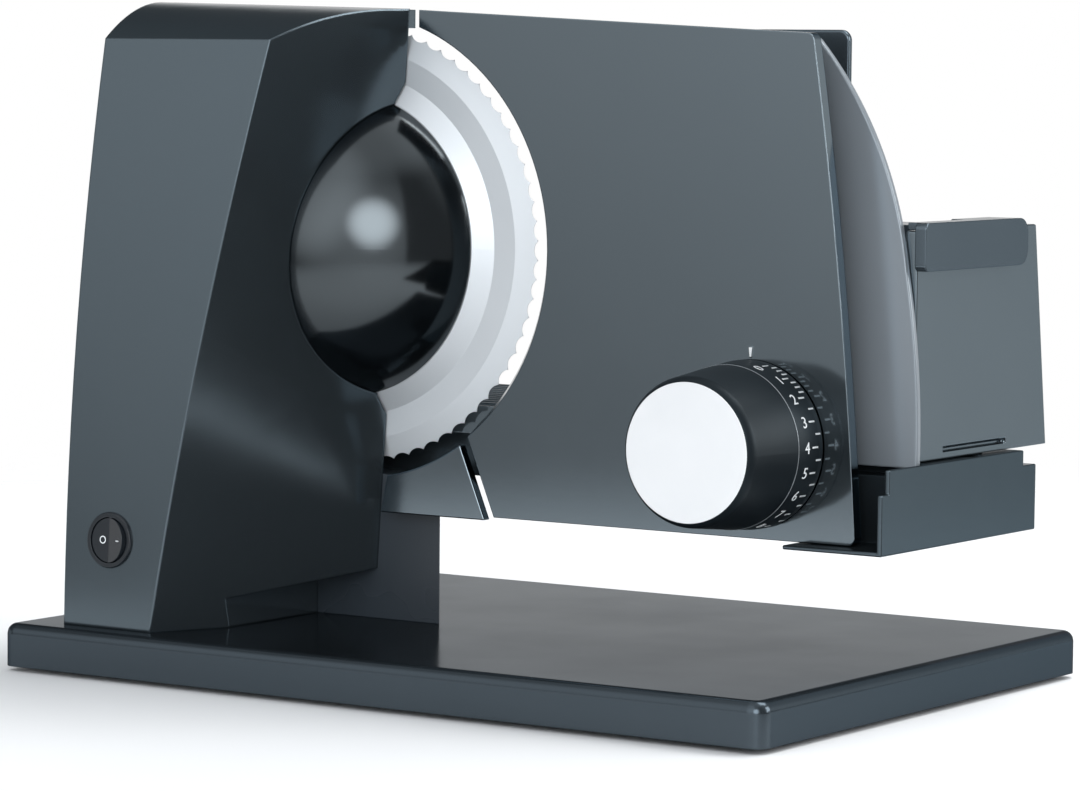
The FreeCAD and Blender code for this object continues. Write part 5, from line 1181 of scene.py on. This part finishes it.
@dataclass
class Dial(Assembly):
    """Thickness dial with its printed scale.

    Attributes:
        middle: Middle of the dial on the plate's face.
        first: Angle of the first figure from the top, in degrees.
        step: Angle from one figure to the next, in degrees.
        figures: How many figures the scale has.
        parts: Parts that each step of the scale is divided into.
        figure_high: Height of a figure.
        figure_share: Share of its type size that a figure is high.
        figure_gap: Room between a tick and its figure.
        figure_ink: Half the thickness of a figure's print.
        figure_over: Height of the middle of that print over the ring.
        tick_rear: Rear end of the ticks, before the plate's face.
        long_tick: Length of a tick beside a figure.
        short_tick: Length of a tick between figures.
        tick_wide: Width of a tick.
        tick_high: Thickness of a tick's print.
        tick_over: Height of the middle of that print over the ring.
        ring_front: Ring's radius at the front of its cone.
        ring_rear: Ring's radius at the rear of its cone.
        cone_front: Front of the cone, before the plate's face.
        cone_rear: Rear of the cone, before the plate's face.
        bead: Radius of the bead's own section.
        bead_sides: Sides of that section.
        steps: Steps round the bead.
    """

    middle: Place = DIAL_MIDDLE
    first: float = 18.0
    step: float = 17.5
    figures: int = 9
    parts: tuple[int, ...] = (4, 4, 2, 2, 2, 2, 2, 2)
    figure_high: float = 0.0042
    figure_share: float = 0.7
    figure_gap: float = 0.0013
    figure_ink: float = 0.00006
    figure_over: float = 0.00004
    tick_rear: float = 0.0016
    long_tick: float = 0.0060
    short_tick: float = 0.0033
    tick_wide: float = 0.00065
    tick_high: float = 0.00012
    tick_over: float = 0.00001
    ring_front: float = 0.0299
    ring_rear: float = 0.0310
    cone_front: float = 0.0156
    cone_rear: float = 0.0030
    bead: float = 0.00016
    bead_sides: int = 8
    steps: int = 96

    def build(self) -> None:
        """Dress the dial, print its scale and add the bead, whose light grey is a painted highlight along the
        scale's front edge.
        """
        self.dress_all({"dial_knob": KNOB_SOFT, "dial_scale_ring": KNOB_SOFT, "dial_disc": DISC_ALUMINIUM,
                        "dial_clip": ZINC_STEEL, "dial_spindle": ROD_STEEL, "spindle_bracket": ZINC_STEEL})
        settle(self.scale_ticks(), "dial_body", "scale_black")
        settle(self.scale_figures(), "dial_body", "scale_black")
        settle(self.scale_bead(), "dial_body", "scale_black")

    def radius(self, before: float) -> float:
        """Radius of the ring's surface.

        Args:
            before: Distance before the plate's face.

        Returns:
            The radius there.
        """
        share = (before - self.cone_rear) / (self.cone_front - self.cone_rear)
        return self.ring_rear + (self.ring_front - self.ring_rear) * max(0.0, min(1.0, share))

    def on_ring(self, angle: float, before: float, proud: float) -> Vector:
        """Point on or over the ring.

        Args:
            angle: Degrees from the top, clockwise as the user sees the dial.
            before: Distance before the plate's face.
            proud: Height over the ring's surface.

        Returns:
            The point in the model's frame.
        """
        turn = math.radians(angle)
        reach = self.radius(before) + proud
        middle = Vector(self.middle)
        return middle + Vector((math.sin(turn) * reach, -before, math.cos(turn) * reach))

    def tick_angles(self) -> list[tuple[float, float]]:
        """Work out where the ticks stand.

        Returns:
            Angle and length of each tick.
        """
        ticks = [(self.first + self.step * k, self.long_tick) for k in range(self.figures)]
        for gap, count in enumerate(self.parts):
            ticks += [(self.first + self.step * (gap + part / count), self.short_tick)
                      for part in range(1, count)]
        return ticks

    def scale_ticks(self) -> bpy.types.Object:
        """Print the ticks: one bar per point, turned to the ring by Geometry Nodes.

        Returns:
            All ticks as one piece.
        """
        work = bmesh.new()
        lengths = work.verts.layers.float.new("length")
        outward = work.verts.layers.float_vector.new("outward")
        for angle, length in self.tick_angles():
            vert = work.verts.new(self.on_ring(angle, self.tick_rear + length / 2, self.tick_over))
            vert[lengths] = length
            turn = math.radians(angle)
            vert[outward] = (math.sin(turn), 0, math.cos(turn))
        sizes = {"Bar width": self.tick_wide, "Bar height": self.tick_high}
        return bars_on_points(PRINT_AND_PAINTED_HIGHLIGHT.material()).grow(meshed("dial_ticks", work), sizes)

    def scale_figures(self) -> bpy.types.Object:
        """Print the figures, bent round the ring.

        Returns:
            All figures as one piece.
        """
        joined = bmesh.new()
        for number in range(self.figures):
            data = bpy.data.curves.new(f"figure_{number}", "FONT")
            data.body = str(number)
            data.size = self.figure_high / self.figure_share
            data.extrude = self.figure_ink
            data.resolution_u = 3
            text = linked(f"figure_{number}", data)
            bpy.context.view_layer.update()
            mesh = bpy.data.meshes.new_from_object(text)
            bpy.data.objects.remove(text)
            bpy.data.curves.remove(data)
            right = max(v.co.x for v in mesh.vertices)
            middle = (max(v.co.y for v in mesh.vertices) + min(v.co.y for v in mesh.vertices)) / 2
            edge = self.tick_rear + self.long_tick + self.figure_gap
            for vert in mesh.vertices:
                before = edge - (vert.co.x - right)
                up = vert.co.y - middle
                angle = self.first + self.step * number - math.degrees(up / self.radius(before))
                vert.co = self.on_ring(angle, before, self.figure_over + vert.co.z)
            joined.from_mesh(mesh)
            bpy.data.meshes.remove(mesh)
        return make_piece("dial_figures", joined, PRINT_AND_PAINTED_HIGHLIGHT)

    def scale_bead(self) -> bpy.types.Object:
        """Turn the fine bead at the front of the scale, whose light grey is a painted highlight along that
        edge.

        Returns:
            The bead.
        """
        angles = [2 * math.pi * k / self.bead_sides for k in range(self.bead_sides)]
        profile = [(self.ring_front + self.bead * math.cos(a), self.cone_front + self.bead * math.sin(a))
                   for a in angles]
        work = turned(profile, self.steps, closed=True)
        work.transform(Matrix.Translation(self.middle) @ Matrix.Rotation(math.radians(90), 4, "X"))
        # The bead's light grey is a painted highlight along the scale's front edge
        return make_piece("dial_bead", work, BEAD_PAINTED_HIGHLIGHT, 80.0)


def bars_on_points(material: bpy.types.Material) -> PointTree:
    """Build the tree that puts a bar on every point, along Y and turned to the point's outward vector.

    Args:
        material: The bars' material.

    Returns:
        The tree, with a bar's width and height.
    """
    points = PointTree("bars_on_points", {"Bar width": "Float", "Bar height": "Float"})
    tree, given, outward = points.tree, points.given, points.outward
    length = add_node(tree, "GeometryNodeInputNamedAttribute", {"Name": "length"}, data_type="FLOAT")
    bar = add_node(tree, "GeometryNodeMeshCube", {"Size": (1.0, 1.0, 1.0)})
    turn = add_node(tree, "FunctionNodeAxesToRotation", {
        "Primary Axis": outward.outputs[0], "Secondary Axis": (0.0, 1.0, 0.0)},
        primary_axis="Z", secondary_axis="Y")
    size = add_node(tree, "ShaderNodeCombineXYZ", {
        "X": given.outputs["Bar width"], "Y": length.outputs[0], "Z": given.outputs["Bar height"]})
    points.place(bar.outputs["Mesh"], turn.outputs[0], size.outputs[0], material)
    return points


@dataclass
class Carriage(Assembly):
    """Food carriage with its wall, shield and shoe."""

    def build(self) -> None:
        """Dress the carriage and round its edges."""
        self.dress_all({"carriage_floor": CARRIAGE_PAINT, "carriage_shoe": KNOB_SOFT})
        self.soften("carriage_wall", CARRIAGE_PAINT, 0.7, "carriage_body", "carriage_grey")
        self.soften("thumb_guard", SHIELD_PAINT, 0.7, "carriage_body", "shield_grey")
        self.cross_screws("carriage_screws", (0, 0, 1), "carriage_body")


@dataclass
class Pusher(Assembly):
    """Pusher with its hook, plate, spikes and grip."""

    def build(self) -> None:
        """Dress the pusher and round its edges."""
        self.dress_all({"pusher_spikes": BLADE_STEEL, "pusher_grip": KNOB_SOFT})
        self.soften("pusher_arm", PUSHER_ABS, 0.8, "pusher_body", "pusher_clear")
        self.soften("pusher_plate", PUSHER_ABS, 0.8, "pusher_body", "pusher_clear")


def corners() -> list[list[float]]:
    """Lowest and highest corner of the shown object as plain numbers."""
    return [list(corner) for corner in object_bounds()]


def main() -> None:
    """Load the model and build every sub-assembly."""
    logging.basicConfig(level=logging.INFO, format="%(message)s")
    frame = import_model()
    bpy.context.scene.view_settings.view_transform = "Standard"
    nodes = frame["nodes"]
    Studio().build()
    for part in (Base, Tower, Blade, Drive, Arm, ThicknessPlate, Dial, Carriage, Pusher):
        LOG.info("building %s", part.__name__)
        part(nodes).build()


if __name__ == "__main__":
    main()
